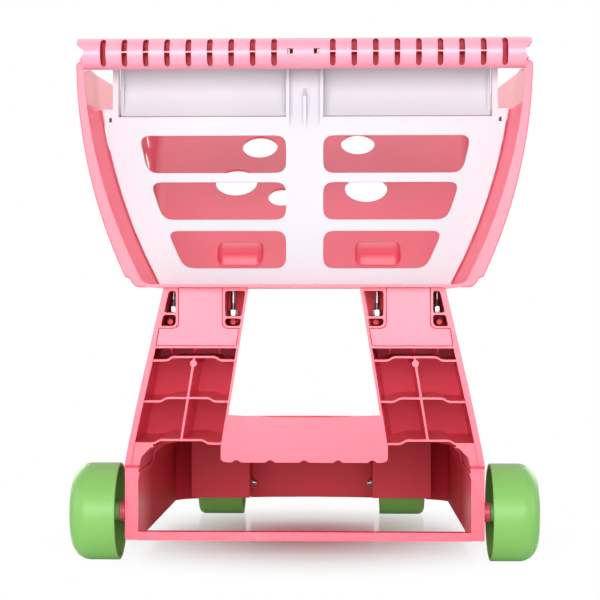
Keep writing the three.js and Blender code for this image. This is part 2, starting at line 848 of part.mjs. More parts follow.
function rearGate() {
  const panel = prism('y', gateOutline(0, gateLugTopZ), [gateRearY, gateRearY + gateRimDepth]);
  const tray = prism('y', gateOutline(gateRimThickness, gateLugTopZ + overrun),
    [gateFrontY, gateRearY + gateRimDepth + overrun]);
  const legOpening = block(
    [-gateArmInnerX, gateArmInnerX],
    [gateRearY - overrun, gateRearY + gateRimDepth + overrun],
    [gateTopZ, gateLugTopZ + overrun],
  );
  const spine = block(
    [-gateSpineHalfWidth, gateSpineHalfWidth],
    [gateRearY, spineFrontY],
    [gateSpineFootZ, gateSpineTopZ],
  );
  const plate = cut(panel, [tray, legOpening]);
  const body = joined([plate, spine, ...sides.flatMap((side) => gateArm(side))]);
  const windows = sides.flatMap((side) => gateWindowRows.map((row) => gateWindow(side, row)));
  const slots = sides.map((side) => block(
    [side * (gateSlotX - gateSlotWidth / 2), side * (gateSlotX + gateSlotWidth / 2)],
    [gateRearY - overrun, gateFrontY + overrun],
    [gateSlotZ - gateSlotHeight / 2, gateSlotZ + gateSlotHeight / 2],
  ));
  const pinHoleEndX = gatePinLugX + gatePinLugThickness + overrun;
  const pinHoles = sides.map((side) => rod('x', seatPinRadius + fitGap,
    [side * (gateArmInnerX - overrun), side * pinHoleEndX], [seatPinY, seatPinZ]));
  const hollow = cut(body, [spineChannel(), ...windows, ...slots, ...pinHoles]);
  return joined([hollow, spineRib(), ...sides.map((side) => spineProng(side))]);
}

// Seat flap

// The flap's section: a shallow arc, hollow towards the pusher.
function flapSection() {
  const chord = flapTopZ - flapBottomZ;
  const radius = ((chord / 2) ** 2 + flapSag ** 2) / (flapSag * 2);
  const halfAngle = Math.asin(chord / 2 / radius);
  const centreY = flapRearY + flapSag - radius;
  const centreZ = (flapTopZ + flapBottomZ) / 2;
  const angles = levels(-halfAngle, halfAngle, flapArcSteps);
  const along = (reach) => (angle) => [
    centreY + reach * Math.cos(angle),
    centreZ + reach * Math.sin(angle),
  ];
  const rear = angles.map(along(radius));
  const front = angles.map(along(radius + flapThickness)).reverse();
  return outline([...rear, ...front]);
}

// An end cheek of the flap with its hinge ear and the heel that stops it when it lies flat.
function flapCheek(side) {
  const spanX = [side * (flapHalfWidth - flapEndThickness), side * flapHalfWidth];
  const heelLength = seatPinY - gateFrontY - seatStopGap;
  const cheek = roundedOutline([
    [flapRearY, flapBottomZ],
    [seatPinY, seatPinZ],
    [seatPinY + flapEarRadius, seatPinZ],
    [flapRearY + flapEndDepth, (flapBottomZ + flapTopZ) / 2],
    [flapRearY + flapThickness * 2, flapTopZ],
    [flapRearY, flapTopZ],
  ], flapThickness / 2);
  return [
    prism('x', cheek, spanX),
    rod('x', flapEarRadius, spanX, [seatPinY, seatPinZ]),
    block(spanX, [seatPinY - wall, seatPinY + wall], [seatPinZ - heelLength, seatPinZ]),
  ];
}

function seatFlap() {
  const plate = prism('x', flapSection(), [-flapHalfWidth, flapHalfWidth]);
  const body = joined([plate, ...sides.flatMap((side) => flapCheek(side))]);
  const reach = flapHalfWidth + overrun;
  return cut(body, [rod('x', seatPinRadius + fitGap, [-reach, reach], [seatPinY, seatPinZ])]);
}

function seatPin(side) {
  return rod('x', seatPinRadius, seatPinSpan(side), [seatPinY, seatPinZ], pinFacets);
}

// Base

// The plan of the base, drawn in by an inset at the sides and another at the front.
function basePlan(sideInset, frontInset, rearY) {
  const rearX = baseHalfWidth - sideInset;
  const cornerX = baseFrontHalfWidth - sideInset;
  const frontY = baseFrontY - frontInset;
  const shoulderX = cornerX - baseCornerRunX;
  const shoulderY = baseCornerY + baseCornerRunY - frontInset;
  const pullY = shoulderY - baseCornerRunY * baseCornerPullShare;
  const shape = new THREE.Shape();
  shape.moveTo(-rearX, rearY);
  shape.lineTo(rearX, rearY);
  shape.lineTo(cornerX, baseCornerY);
  shape.quadraticCurveTo(cornerX, pullY, shoulderX, shoulderY);
  shape.quadraticCurveTo(0, frontY * 2 - shoulderY, -shoulderX, shoulderY);
  shape.quadraticCurveTo(-cornerX, pullY, -cornerX, baseCornerY);
  shape.closePath();
  return shape;
}

// The hollow under the rack, with its upper edges rounded along the cart.
function underRack() {
  const topZ = rackFloorZ - wall;
  const shape = new THREE.Shape();
  shape.moveTo(-baseInnerX, baseFrontBottomZ - overrun);
  shape.lineTo(baseInnerX, baseFrontBottomZ - overrun);
  shape.lineTo(baseInnerX, topZ - baseRoofRadius);
  shape.quadraticCurveTo(baseInnerX, topZ, baseInnerX - baseRoofRadius, topZ);
  shape.lineTo(baseRoofRadius - baseInnerX, topZ);
  shape.quadraticCurveTo(-baseInnerX, topZ, -baseInnerX, topZ - baseRoofRadius);
  shape.closePath();
  const along = prism('y', shape, [-overrun, baseFrontY + overrun]);
  const plan = basePlan(wall, wall, -overrun);
  return along.intersect(prism('z', plan, [baseFrontBottomZ - overrun, rackFloorZ], 6));
}

// The base from behind, drawn in above the start of the legs' curve as the legs are.
function baseSection() {
  const lowX = baseHalfWidth;
  const highX = legOuterX(rackRimZ);
  const shape = outline([
    [-lowX, baseFrontBottomZ],
    [lowX, baseFrontBottomZ],
    [lowX, legFlareStartZ],
    [highX, rackRimZ],
    [-highX, rackRimZ],
    [-lowX, legFlareStartZ],
  ]);
  return prism('y', shape, [0, baseFrontY + overrun]);
}

// What is cut away below the base's bottom edge, which drops towards the front.
function belowBase() {
  const reach = baseHalfWidth + overrun;
  return prism('x', outline([
    [-overrun, baseFrontBottomZ - overrun],
    [baseFrontY, baseFrontBottomZ - overrun],
    [baseFrontY, baseFrontBottomZ],
    [0, baseRearBottomZ],
    [-overrun, baseRearBottomZ],
  ]), [-reach, reach]);
}

// Below the legs' lips the rear faces of the base's sides are set back, with a sloping shoulder.
function rearSetback(side) {
  const shape = outline([
    [-overrun, baseFrontBottomZ - overrun],
    [wall, baseFrontBottomZ - overrun],
    [wall, legFlareStartZ - wall],
    [0, legFlareStartZ],
    [-overrun, legFlareStartZ],
  ]);
  const innerX = baseInnerX - baseRoofRadius;
  return prism('x', shape, [side * innerX, side * (baseHalfWidth + overrun)]);
}

function rackShell() {
  const plan = prism('z', basePlan(0, 0, 0), [baseFrontBottomZ, rackRimZ], 6);
  const recess = prism('z', basePlan(rackRimWidth, rackRimWidth, legDepthFoot),
    [rackFloorZ, rackRimZ + overrun], 6);
  const sideSlots = sides.map((side) => {
    const middleX = baseHalfWidth - baseSideThickness / 2;
    return block(
      [side * (middleX - sideSlotWidth / 2), side * (middleX + sideSlotWidth / 2)],
      [sideSlotRearY, sideSlotFrontY],
      [baseFrontBottomZ - overrun, rackFloorZ - sideSlotTopInset],
    );
  });
  const shell = plan.intersect(baseSection());
  const setbacks = sides.map((side) => rearSetback(side));
  return cut(shell, [belowBase(), underRack(), recess, ...sideSlots, ...setbacks]);
}

// A box round each front wheel, open below and to the front.
function wheelWell(side) {
  const outside = block([side * wellInnerX, side * wellOuterX], [wellRearY, baseFrontY],
    [wellBottomZ, rackFloorZ - wall / 2]);
  const plan = prism('z', basePlan(0, 0, 0), [wellBottomZ - overrun, rackFloorZ], 6);
  return outside.intersect(plan);
}

function wellHollow(side) {
  const topZ = frontAxleZ + frontWheelRadius + wellHeadroom;
  return block([side * (wellInnerX + wall), side * (wellOuterX - wall)],
    [wellRearY + wall, baseFrontY + overrun], [baseFrontBottomZ - overrun, topZ]);
}

function axleBosses(side) {
  const rearCentre = [rearAxleY, rearAxleZ];
  const frontCentre = [frontAxleY, frontAxleZ];
  const innerEnd = frontWheelInnerX;
  const outerEnd = frontWheelInnerX + frontWheelWidth;
  return [
    rod('x', bossRadius, [side * (baseHalfWidth - wall), side * rearWheelInnerX], rearCentre),
    rod('x', frontBossRadius, [side * (wellInnerX + wall / 2), side * innerEnd], frontCentre),
    rod('x', frontBossRadius, [side * outerEnd, side * (wellOuterX - wall / 2)], frontCentre),
  ];
}

function axleBores(side) {
  return [
    rod('x', rearAxleRadius + fitGap,
      [side * (baseInnerX + wall), side * (rearWheelInnerX + overrun)], [rearAxleY, rearAxleZ]),
    rod('x', frontAxleRadius + fitGap,
      [side * (wellInnerX - overrun), side * (wellOuterX + overrun)], [frontAxleY, frontAxleZ]),
  ];
}

function crossbar() {
  const reach = baseInnerX + fitGap;
  return block([-reach, reach], [0, crossbarDepth], [crossbarBottomZ, crossbarTopZ]);
}

// The upright apron between the legs, with a sagging top edge and a notched bottom edge.
function apron() {
  const bottomX = legInnerX(apronBottomZ) + legInnerWall / 2;
  const topX = legInnerX(apronTopZ) + legInnerWall / 2;
  const shape = new THREE.Shape();
  shape.moveTo(-topX, apronTopZ);
  shape.quadraticCurveTo(0, apronTopZ - apronSag * 2, topX, apronTopZ);
  shape.lineTo(bottomX, apronBottomZ + apronCornerRadius);
  shape.quadraticCurveTo(bottomX, apronBottomZ, bottomX - apronCornerRadius, apronBottomZ);
  for (let i = 0; i < apronNotchCount; i++) {
    const x = apronNotchPitch * ((apronNotchCount - 1) / 2 - i);
    shape.lineTo(x + apronNotchWidth / 2, apronBottomZ);
    shape.quadraticCurveTo(x, apronBottomZ + apronNotchHeight * 2, x - apronNotchWidth / 2,
      apronBottomZ);
  }
  shape.lineTo(apronCornerRadius - bottomX, apronBottomZ);
  shape.quadraticCurveTo(-bottomX, apronBottomZ, -bottomX, apronBottomZ + apronCornerRadius);
  shape.closePath();
  return prism('y', shape, [0, wall]);
}

// A length of the leg between two heights and two depths, drawn in at its outer and inner edge. The
// inner edge leans outward with depth.
function legBlock(side, [lowZ, highZ], [rearY, frontY], outerInset, innerInset) {
  const heights = levels(lowZ, highZ, legOutlineSteps);
  const rings = [rearY, frontY].map((y) => {
    const innerEdge = innerInset + y * legInnerDraftShare;
    const outer = heights.map((z) => [side * (legOuterX(z) - outerInset), y, z]);
    const inner = [highZ, lowZ].map((z) => [side * (legInnerX(z) + innerEdge), y, z]);
    return [...outer, ...inner];
  });
  return loft(side < 0 ? rings : rings.map((ring) => [...ring].reverse()));
}

// The leg's outline from the side: its front face leans back towards the top.
function legSide(side, rearY, frontInset) {
  const shape = outline([
    [rearY, rackFloorZ],
    [legDepthFoot - frontInset, rackFloorZ],
    [legDepthTop - frontInset, legTopZ],
    [rearY, legTopZ],
  ]);
  return prism('x', shape, [0, side * (baseHalfWidth + overrun)]);
}

function legHollow(side) {
  const highZ = ledgeZ - ribThickness;
  const inside = legBlock(side, [rackRimZ, highZ], [0, legDepthFoot], wall, legInnerWall);
  return inside.intersect(legSide(side, wall, wall));
}

// The leg's open back, which leaves a lip along its outer edge as far down as the base's side.
function legMouth(side) {
  const heights = [legFlareStartZ, ledgeZ - ribThickness];
  return legBlock(side, heights, [-overrun, wall], legOuterLip, legInnerWall);
}

// The hollow of the base reaches up to the lowest rib of the leg.
function underLeg(side) {
  const innerX = side * (legInnerX(rackRimZ) + wall);
  const outerX = side * baseInnerX;
  const topZ = rackRimZ - ribThickness / 2;
  const frontY = legDepthFoot - wall - ribThickness;
  const shape = new THREE.Shape();
  shape.moveTo(innerX, topZ - baseRoofRadius);
  shape.lineTo(outerX, topZ - baseRoofRadius);
  shape.quadraticCurveTo(outerX, topZ, side * (baseInnerX - baseRoofRadius), topZ);
  shape.lineTo(innerX, topZ);
  shape.closePath();
  const ribMiddle = legSpineX(rackRimZ);
  return [
    prism('y', shape, [-overrun, frontY]),
    block(
      [side * (ribMiddle - legRibRunOut), side * (ribMiddle + legRibRunOut)],
      [-overrun, frontY],
      [topZ - ribThickness, rackRimZ + ribThickness],
    ),
  ];
}

// A level rib, raised over its middle, where it meets the upright rib.
function legRib(side, z) {
  const middle = side * legSpineX(z);
  const reach = legOuterX(z) - legSpineX(z);
  const fall = legRibCurveShares.map(({ run, rise }) => [
    legRibPlateauHalfWidth + (legRibRunOut - legRibPlateauHalfWidth) * run,
    legRibRise * rise,
  ]);
  const right = [...fall, [reach, 0]];
  const left = right.map(([x, rise]) => [-x, rise]).reverse();
  const line = [...left, ...right];
  const lower = line.map(([x, rise]) => [middle + x, z + rise - ribThickness / 2]);
  const upper = line.map(([x, rise]) => [middle + x, z + rise + ribThickness / 2]).reverse();
  return prism('y', outline([...lower, ...upper]), [wall, legDepthFoot]);
}

// Three level ribs and one upright rib with a boss, as deep as the leg's hollow.
function legRibs(side) {
  const core = legBlock(side, [rackFloorZ, ledgeZ], [wall, legDepthFoot], wall / 2,
    legInnerWall / 2);
  const half = ribThickness / 2;
  const lowX = side * legSpineX(legRibZs[0]);
  const highZ = legRibZs[legRibZs.length - 1] + legRibRise;
  const highX = side * legSpineX(highZ);
  const depth = [wall, legDepthFoot];
  const upright = prism('y', outline([
    [lowX - half, legRibZs[0] + legRibRise],
    [lowX + half, legRibZs[0] + legRibRise],
    [highX + half, highZ],
    [highX - half, highZ],
  ]), depth);
  const boss = rod('y', legBossRadius, depth, [side * legSpineX(legBossZ), legBossZ], pinFacets);
  const ribs = legRibZs.map((z) => legRib(side, z));
  return joined([...ribs, upright, boss]).intersect(core).intersect(legSide(side, wall, wall / 2));
}

// Small gussets that hang under the ledge.
function ledgeGussets(side) {
  const z = ledgeZ - ribThickness;
  const shape = outline([
    [wall, z + ribThickness / 2],
    [wall, z],
    [gussetDepth, z - gussetHeight],
    [gussetDepth, z + ribThickness / 2],
  ]);
  return gussetInsets.map((inset) => {
    const middle = side * (baseHalfWidth - inset);
    return prism('x', shape, [middle - ribThickness / 2, middle + ribThickness / 2]);
  });
}

// The lock plate from behind: a foot and a stem with a fillet in both of their corners.
function lockOutline(side, gap, topZ) {
  const footTopZ = lockFootTopZ + gap;
  const footLowZ = lockBottomZ - gap;
  const outerX = side * (lockStemOuterX + gap);
  const innerX = side * (lockStemInnerX - gap);
  const shape = new THREE.Shape();
  shape.moveTo(side * (lockFootInnerBottomX - gap), footLowZ);
  shape.lineTo(side * (lockFootOuterBottomX + gap), footLowZ);
  shape.lineTo(side * (lockFootOuterTopX + gap), footTopZ);
  shape.lineTo(outerX + side * lockFillet, footTopZ);
  shape.quadraticCurveTo(outerX, footTopZ, outerX, footTopZ + lockFillet);
  shape.lineTo(outerX, topZ);
  shape.lineTo(innerX, topZ);
  shape.lineTo(innerX, footTopZ + lockFillet);
  shape.quadraticCurveTo(innerX, footTopZ, innerX - side * lockFillet, footTopZ);
  shape.lineTo(side * (lockFootInnerTopX - gap), footTopZ);
  shape.closePath();
  return shape;
}

function lockPlate(side) {
  return prism('y', lockOutline(side, 0, legTopZ), [lockSunk, lockSunk + lockThickness]);
}

// The two pockets beside the lock plate's stem, each in a lower and an upper room.
function headPockets(side) {
  const roofZ = legTopZ - wall;
  const innerX = side * (lockStemInnerX - lockGap - pocketRim);
  const outerX = side * (lockStemOuterX + lockGap + pocketRim);
  return boltPlaces.flatMap(({ x, shelfZ }) => {
    const beside = x < lockStemInnerX ? innerX : outerX;
    const edge = (z) => side * (x < lockStemInnerX
      ? legInnerX(z) + legInnerWall
      : legOuterX(z) - legOuterLip);
    const rooms = [
      { lowZ: pocketFloorZ, highZ: shelfZ - ribThickness, run: pocketFilletRun },
      { lowZ: shelfZ, highZ: roofZ, run: pocketCornerRun },
    ];
    return rooms.map(({ lowZ, highZ, run }) => prism('y', roundedOutline([
      [edge(lowZ), lowZ],
      [beside, lowZ, run],
      [beside, highZ],
      [edge(highZ), highZ],
    ], pocketCornerRun), [-overrun, pocketDepth]));
  });
}

function headHollow(side) {
  const innerX = lockStemInnerX + wall;
  const outerX = lockStemOuterX - wall;
  return block([side * innerX, side * outerX], [lockSunk, legDepthTop - wall],
    [lockBottomZ + wall, legTopZ - wall]);
}

function headPegs(side) {
  const places = [
    (legInnerX(pegZ) + legInnerWall + lockStemInnerX - pocketRim) / 2,
    (legOuterX(pegZ) - legOuterLip + lockStemOuterX + pocketRim) / 2,
  ];
  const span = [pegRearY, pocketDepth + wall];
  return places.map((x) => rod('y', pegRadius, span, [side * x, pegZ], pinFacets));
}

function leg(side) {
  const body = legBlock(side, [rackFloorZ, legTopZ], [0, legDepthFoot], 0, 0)
    .intersect(legSide(side, 0, 0));
  const recess = prism('y', lockOutline(side, lockGap, legTopZ + overrun),
    [-overrun, lockSunk + lockThickness + fitGap]);
  const boltHoles = boltPlaces.map(({ x, shelfZ }) => rod('z', boltRadius + fitGap,
    [shelfZ + nutThickness, legTopZ + overrun], [side * x, boltY]));
  const open = cut(body, [legHollow(side), recess, headHollow(side), ...headPockets(side),
    ...boltHoles]);
  return joined([open, ...headPegs(side)]);
}

function baseFrame() {
  const legs = sides.map((side) => leg(side));
  const wells = sides.map((side) => wheelWell(side));
  const body = joined([rackShell(), ...legs, crossbar(), apron(), ...wells]);
  const cutters = sides.flatMap((side) => (
    [wellHollow(side), legMouth(side), ...underLeg(side)]
  ));
  const inside = sides.flatMap((side) => (
    [legRibs(side), ...ledgeGussets(side), ...axleBosses(side)]
  ));
  const bossed = joined([cut(body, cutters), ...inside]);
  return cut(bossed, sides.flatMap((side) => axleBores(side)));
}

// Wheels, axles and fasteners

// An open-backed wheel: tread, face that curves in to the cap's seat, and a hub round the axle
function rearWheel(side) {
  const radius = rearWheelRadius;
  const width = rearWheelWidth;
  const bore = rearAxleRadius + runningGap;
  const faceFall = width - rearWheelTreadWidth;
  const seat = width - hubCapSeatDepth;
  const seatRadius = hubCapRadius + fitGap;
  const face = rearWheelFaceShares.map(({ inward, outward }) => [
    radius - faceFall * inward,
    rearWheelTreadWidth + faceFall * outward,
  ]);
  const [turnRadius, turnAlong] = face[face.length - 1];
  const profile = [
    [radius, 0],
    [radius, rearWheelTreadWidth],
    ...face,
    [seatRadius, width],
    [seatRadius, seat],
    [bore, seat],
    [bore, hubEndGap],
    [rearHubRadius, hubEndGap],
    [rearHubRadius, seat - wall],
    [seatRadius + wall, width - rearWheelFaceThickness],
    [turnRadius - wall / 2, turnAlong - rearWheelFaceThickness],
    [radius - wall, rearWheelTreadWidth - wall / 2],
    [radius - wall, 0],
  ];
  return turned(profile, side, rearWheelInnerX, [rearAxleY, rearAxleZ]);
}

// A drum of a wheel, open at the back, with a rounded outer edge and a hub as wide as the tread
function frontWheel(side) {
  const radius = frontWheelRadius;
  const width = frontWheelWidth;
  const edge = frontWheelEdgeRadius;
  const edgeTurn = edge * frontWheelEdgeShare;
  const bore = frontAxleRadius + runningGap;
  const profile = [
    [radius - wall / 2, 0],
    [radius, wall / 2],
    [radius, width - edge],
    [radius - edgeTurn, width - edgeTurn],
    [radius - edge, width],
    [frontHubRadius, width - hubEndGap],
    [bore, width - hubEndGap],
    [bore, hubEndGap],
    [frontHubRadius, hubEndGap],
    [frontHubRadius, width - wall],
    [radius - edge, width - wall],
    [radius - wall, width - edge],
    [radius - wall, wall / 2],
  ];
  return turned(profile, side, frontWheelInnerX, [frontAxleY, frontAxleZ]);
}

// A plain axle with a round head at its outer end.
function headedAxle(side, radius, [innerX, headX], headRadius, headThickness, centre) {
  const shaft = rod('x', radius, [side * innerX, side * headX], centre, pinFacets);
  const headSpan = [side * headX, side * (headX + headThickness)];
  const head = rod('x', headRadius, headSpan, centre, pinFacets);
  return joined([shaft, head]);
}

function rearAxle(side) {
  const headX = rearWheelInnerX + rearWheelWidth - hubCapSeatDepth + fitGap;
  const innerX = baseInnerX + wall + fitGap;
  return headedAxle(side, rearAxleRadius, [innerX, headX], rearAxleHeadRadius,
    rearAxleHeadThickness, [rearAxleY, rearAxleZ]);
}

function frontAxle(side) {
  const innerX = wellInnerX - fitGap - clipThickness - axleEndLength;
  return headedAxle(side, frontAxleRadius, [innerX, wellOuterX + fitGap], frontAxleHeadRadius,
    frontAxleHeadThickness, [frontAxleY, frontAxleZ]);
}

// A ring pushed on to the axle's inner end, against the well's inner wall
function frontAxleClip(side) {
  const innerRadius = frontAxleRadius + fitGap;
  const profile = [
    [innerRadius, 0],
    [innerRadius + clipRimWidth, 0],
    [innerRadius + clipRimWidth, clipThickness],
    [innerRadius, clipThickness],
  ];
  const innerX = wellInnerX - fitGap - clipThickness;
  return turned(profile, side, innerX, [frontAxleY, frontAxleZ], rodFacets);
}

// A domed cap with a rim that presses into the seat in the wheel's face
function hubCap(side) {
  const innerX = rearWheelInnerX + rearWheelWidth - hubCapThickness;
  const profile = [
    [0, 0],
    [hubCapRadius - ribThickness, 0],
    [hubCapRadius - ribThickness, -hubCapRimDepth],
    [hubCapRadius, -hubCapRimDepth],
    [hubCapRadius, hubCapThickness],
    [hubCapRadius * hubCapDomeShare, hubCapThickness + hubCapRise],
    [0, hubCapThickness + hubCapRise],
  ];
  return turned(profile, side, innerX, [rearAxleY, rearAxleZ], rodFacets);
}

function basketBolt(side, { x, shelfZ }) {
  const place = [side * x, boltY];
  const headZ = basketFloorZ + fitGap;
  const shank = rod('z', boltRadius, [shelfZ + ribThickness, headZ], place, pinFacets);
  const head = rod('z', boltHeadRadius, [headZ, headZ + boltHeadThickness], place, pinFacets);
  return joined([shank, head]);
}

function basketNut(side, { x, shelfZ }) {
  const lowZ = shelfZ + fitGap;
  const place = [side * x, boltY];
  const nut = rod('z', nutRadius, [lowZ, lowZ + nutThickness], place, nutFacets);
  const bore = rod('z', boltRadius + fitGap, [lowZ - overrun, lowZ + nutThickness + overrun], place,
    pinFacets);
  return cut(nut, [bore]);
}

// Materials

function pinkPlastic() {
  return new THREE.MeshStandardMaterial({ color: 0xf6859f, roughness: 0.42, metalness: 0 });
}

function whitePlastic() {
  return new THREE.MeshStandardMaterial({ color: 0xf2f2f5, roughness: 0.4, metalness: 0 });
}

function greenPlastic() {
  return new THREE.MeshStandardMaterial({ color: 0x9ad67a, roughness: 0.45, metalness: 0 });
}

function steel() {
  return new THREE.MeshStandardMaterial({ color: 0xb9bcc0, roughness: 0.3, metalness: 1 });
}

// Assembly

function piece(name, solid, material) {
  const mesh = new THREE.Mesh(toGeometry(solid), material);
  mesh.name = name;
  return mesh;
}

function sideName(side) {
  return side < 0 ? 'left' : 'right';
}

function sidePieces(side) {
  const name = sideName(side);
  const pieces = [
    piece(`seat_pin_${name}`, seatPin(side), steel()),
    piece(`leg_lock_plate_${name}`, lockPlate(side), pinkPlastic()),
    piece(`rear_wheel_${name}`, rearWheel(side), greenPlastic()),
    piece(`rear_hub_cap_${name}`, hubCap(side), greenPlastic()),
    piece(`rear_axle_${name}`, rearAxle(side), steel()),
    piece(`front_wheel_${name}`, frontWheel(side), greenPlastic()),
    piece(`front_axle_${name}`, frontAxle(side), steel()),
    piece(`front_axle_clip_${name}`, frontAxleClip(side), steel()),
  ];
  boltPlaces.forEach((place) => {
    pieces.push(piece(`basket_bolt_${name}_${place.name}`, basketBolt(side, place), steel()));
    pieces.push(piece(`basket_nut_${name}_${place.name}`, basketNut(side, place), steel()));
  });
  return pieces;
}

const cart = new THREE.Group();
cart.add(
  piece('base_frame', baseFrame(), pinkPlastic()),
  piece('basket_tub', basketTub(), pinkPlastic()),
  piece('handle_bar', handleBar(), pinkPlastic()),
  piece('rear_gate', rearGate(), whitePlastic()),
  piece('seat_flap', seatFlap(), whitePlastic()),
  ...sides.flatMap((side) => sidePieces(side)),
);

// The finished cart stands centred on its own length, with its wheels on the floor.
const extent = new THREE.Box3().setFromObject(cart);
cart.position.y = -(extent.min.y + extent.max.y) / 2;

export default cart;
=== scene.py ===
"""Looks for a child's shopping cart: pink, white and green mouldings with steel pins and bolts.

Everything is in metres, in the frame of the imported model: +X is the pusher's right, +Y is
forward and +Z is up from the floor.
"""

import json
import math

import bmesh
import bpy
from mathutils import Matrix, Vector

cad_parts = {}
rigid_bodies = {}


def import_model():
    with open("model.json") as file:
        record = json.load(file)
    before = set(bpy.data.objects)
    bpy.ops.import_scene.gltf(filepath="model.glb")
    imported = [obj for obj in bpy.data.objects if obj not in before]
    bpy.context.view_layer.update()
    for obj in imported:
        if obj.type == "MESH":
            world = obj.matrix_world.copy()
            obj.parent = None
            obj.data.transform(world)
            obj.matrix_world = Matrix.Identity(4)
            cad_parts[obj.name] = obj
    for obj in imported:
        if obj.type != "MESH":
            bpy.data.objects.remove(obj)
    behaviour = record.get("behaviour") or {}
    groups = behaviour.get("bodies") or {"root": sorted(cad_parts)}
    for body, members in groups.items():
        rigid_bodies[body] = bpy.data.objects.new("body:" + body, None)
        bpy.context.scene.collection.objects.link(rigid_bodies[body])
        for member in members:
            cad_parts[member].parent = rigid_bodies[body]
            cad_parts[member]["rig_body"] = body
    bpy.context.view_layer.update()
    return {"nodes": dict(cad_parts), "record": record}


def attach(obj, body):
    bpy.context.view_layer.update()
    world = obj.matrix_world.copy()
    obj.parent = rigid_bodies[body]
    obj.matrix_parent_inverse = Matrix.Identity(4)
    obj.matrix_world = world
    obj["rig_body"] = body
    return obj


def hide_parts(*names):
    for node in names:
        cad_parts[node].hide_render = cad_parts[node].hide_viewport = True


bl_info = {
    "name": "Shopping cart looks",
    "version": (1, 0, 0),
    "blender": (4, 5, 0),
    "location": "3D View > Sidebar > Cart",
    "description": "Builds the finishes, fine mouldings and studio of a child's shopping cart",
    "category": "Object",
}

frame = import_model()
MM = 0.001
SIDES = (("left", -1), ("right", 1))
BASE = frame["nodes"]["base_frame"]
REAR_Y = min((BASE.matrix_world @ vertex.co).y for vertex in BASE.data.vertices)

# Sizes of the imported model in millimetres; y is measured forward from the base's rear face

WALL = 3
FIT_GAP = 0.3  # play between fitted mouldings
ROOM = 5  # how far a cutter reaches past what it cuts

# The hollow under the rack, and the pockets of the leg heads between two leaning walls, which bound
# the painted shade in the base
BASE_INNER_X = 162.5
RACK_ROOF_Z = 108.5
HEAD_LOW_Z = 197
HEAD_TOP_Z = 265
HEAD_OUTER_X = 137.4
HEAD_OUTER_SLOPE = 0.24
HEAD_INNER_X = 54.8
HEAD_INNER_SLOPE = 0.16
HEAD_DEPTH_SLOPE = 0.07
HEAD_DEPTH = 62

# Basket
GATE_FRONT_Y = 23
BASKET_REAR_Y = -16
BASKET_FLOOR_Z = 270
BASKET_RIM_Z = 484
BASKET_TOP_ROOM = 70
RAMP_START_Y = 170
RAMP_END_Y = 399
RAMP_BLEND = 34
RAMP_ROOM = 18
RAMP_SLOPE = (BASKET_RIM_Z - BASKET_FLOOR_Z) / (RAMP_END_Y - RAMP_START_Y)
BASKET_TOP_HALF_WIDTH = 219.9
BULGE_RADIUS = 500
BULGE_START_Z = 490
TAPER_START_Y = 70
TAPER_BLEND = 6
TAPER_PER_LENGTH = 0.0875
BASKET_CORNER_RADIUS = 16
LIP_WIDTH = 6
LIP_THICKNESS = 3
REACH_X = BASKET_TOP_HALF_WIDTH + LIP_WIDTH + ROOM
REACH_Y = RAMP_END_Y + RAMP_ROOM + ROOM
FLANGE_THICKNESS = 3.5
FLANGE_TOP_WIDTH = 6.6
FLANGE_BOTTOM_WIDTH = 14.5
FLANGE_TOP_Z = 485
FLANGE_EAR = 3
FLANGE_CORNER_RADIUS = 10
FLANGE_EDGE_RADIUS = 1.2
GATE_TOP_INSET = 9.6
GATE_BOTTOM_INSET = 11.9
WEDGE_GAP = 1.5
WEDGE_TOP_Z = 444
RIM_DIP = ((8, 477.05), (34, 484))
BLISTER_SPAN = (51, 101)
BLISTER_REAR_Y = 196
BLISTER_TOP_Z = 321
BLISTER_BEND = 22
BLISTER_FOOT = 4
BLISTER_OVERRUN = 8
BLISTER_ROOT = 12
# Round holes: (x, z, radius) in the ramp and (y, z, radius) in each side wall
RAMP_HOLES = (
    (-62, 440, 20.8),
    (-86.8, 393.6, 24.4),
    (-33, 375, 15.8),
    (55.3, 443.6, 20.1),
    (64.3, 385.4, 24.6),
    (-2, 421, 12.5),
)
SIDE_HOLES = (
    (96, 424, 17),
    (66, 360, 20),
    (132, 372, 14),
    (118, 312, 17),
    (182, 414, 24.4),
    (196, 352, 15.8),
    (244, 446, 14),
    (279, 416, 12),
    (300, 441, 11),
)
RAMP_HOLE_REACH = 17
SIDE_HOLE_REACH = 30

# Push bar; a bite is the round notch in each end
BAR_RADIUS = 14.65
BAR_HALF_LENGTH = 217.5
BAR_CENTRE = (-14, 492)
SLOT_SIZE = (5.5, 26)
SLOT_PITCH = 20.5
FIRST_SLOT_X = 28
SLOTS_PER_SIDE = 9
SLOT_FRONT_Y = -11
WEB_HALF_THICKNESS = 0.6
WEB_INSET = 0.9
WEB_ROOT = 1
BITE_RADIUS = 7.75
BITE_OFFSET = 1.3
BAR_WINDOW_X = 12.6
BAR_WINDOW_SIZE = (5.5, 5.4)

# Wheels, axles and bolts; spans run outward from the middle, and a head is (radius, thickness)
REAR_WHEEL = {"radius": 47.39, "width": 45.8, "inner_x": 180.8, "y": 17.6}
FRONT_WHEEL = {"radius": 36.88, "width": 53, "inner_x": 81, "y": 354}
WHEEL_RIBS = 6
FIRST_RIB_ANGLE = 0.26
REAR_AXLE = {"radius": 4, "span": (165.3, 220.9), "head": (7, 2)}
FRONT_AXLE = {"radius": 3, "span": (66.2, 140.3), "head": (4.6, 2)}
# Each bolt's name, x and the height of the shelf that holds its nut
BOLTS = (("inner", 71.5, 239), ("outer", 131, 242.5))
BOLT_Y = 37
BOLT_RADIUS = 2.5
BOLT_HOLE_RADIUS = 2.8
THREAD_TURNS = 14
THREAD_PITCH = 0.8
NUT_RADIUS = 4.4
NUT_HEIGHT = 6
NUT_BORE_RADIUS = 2.75

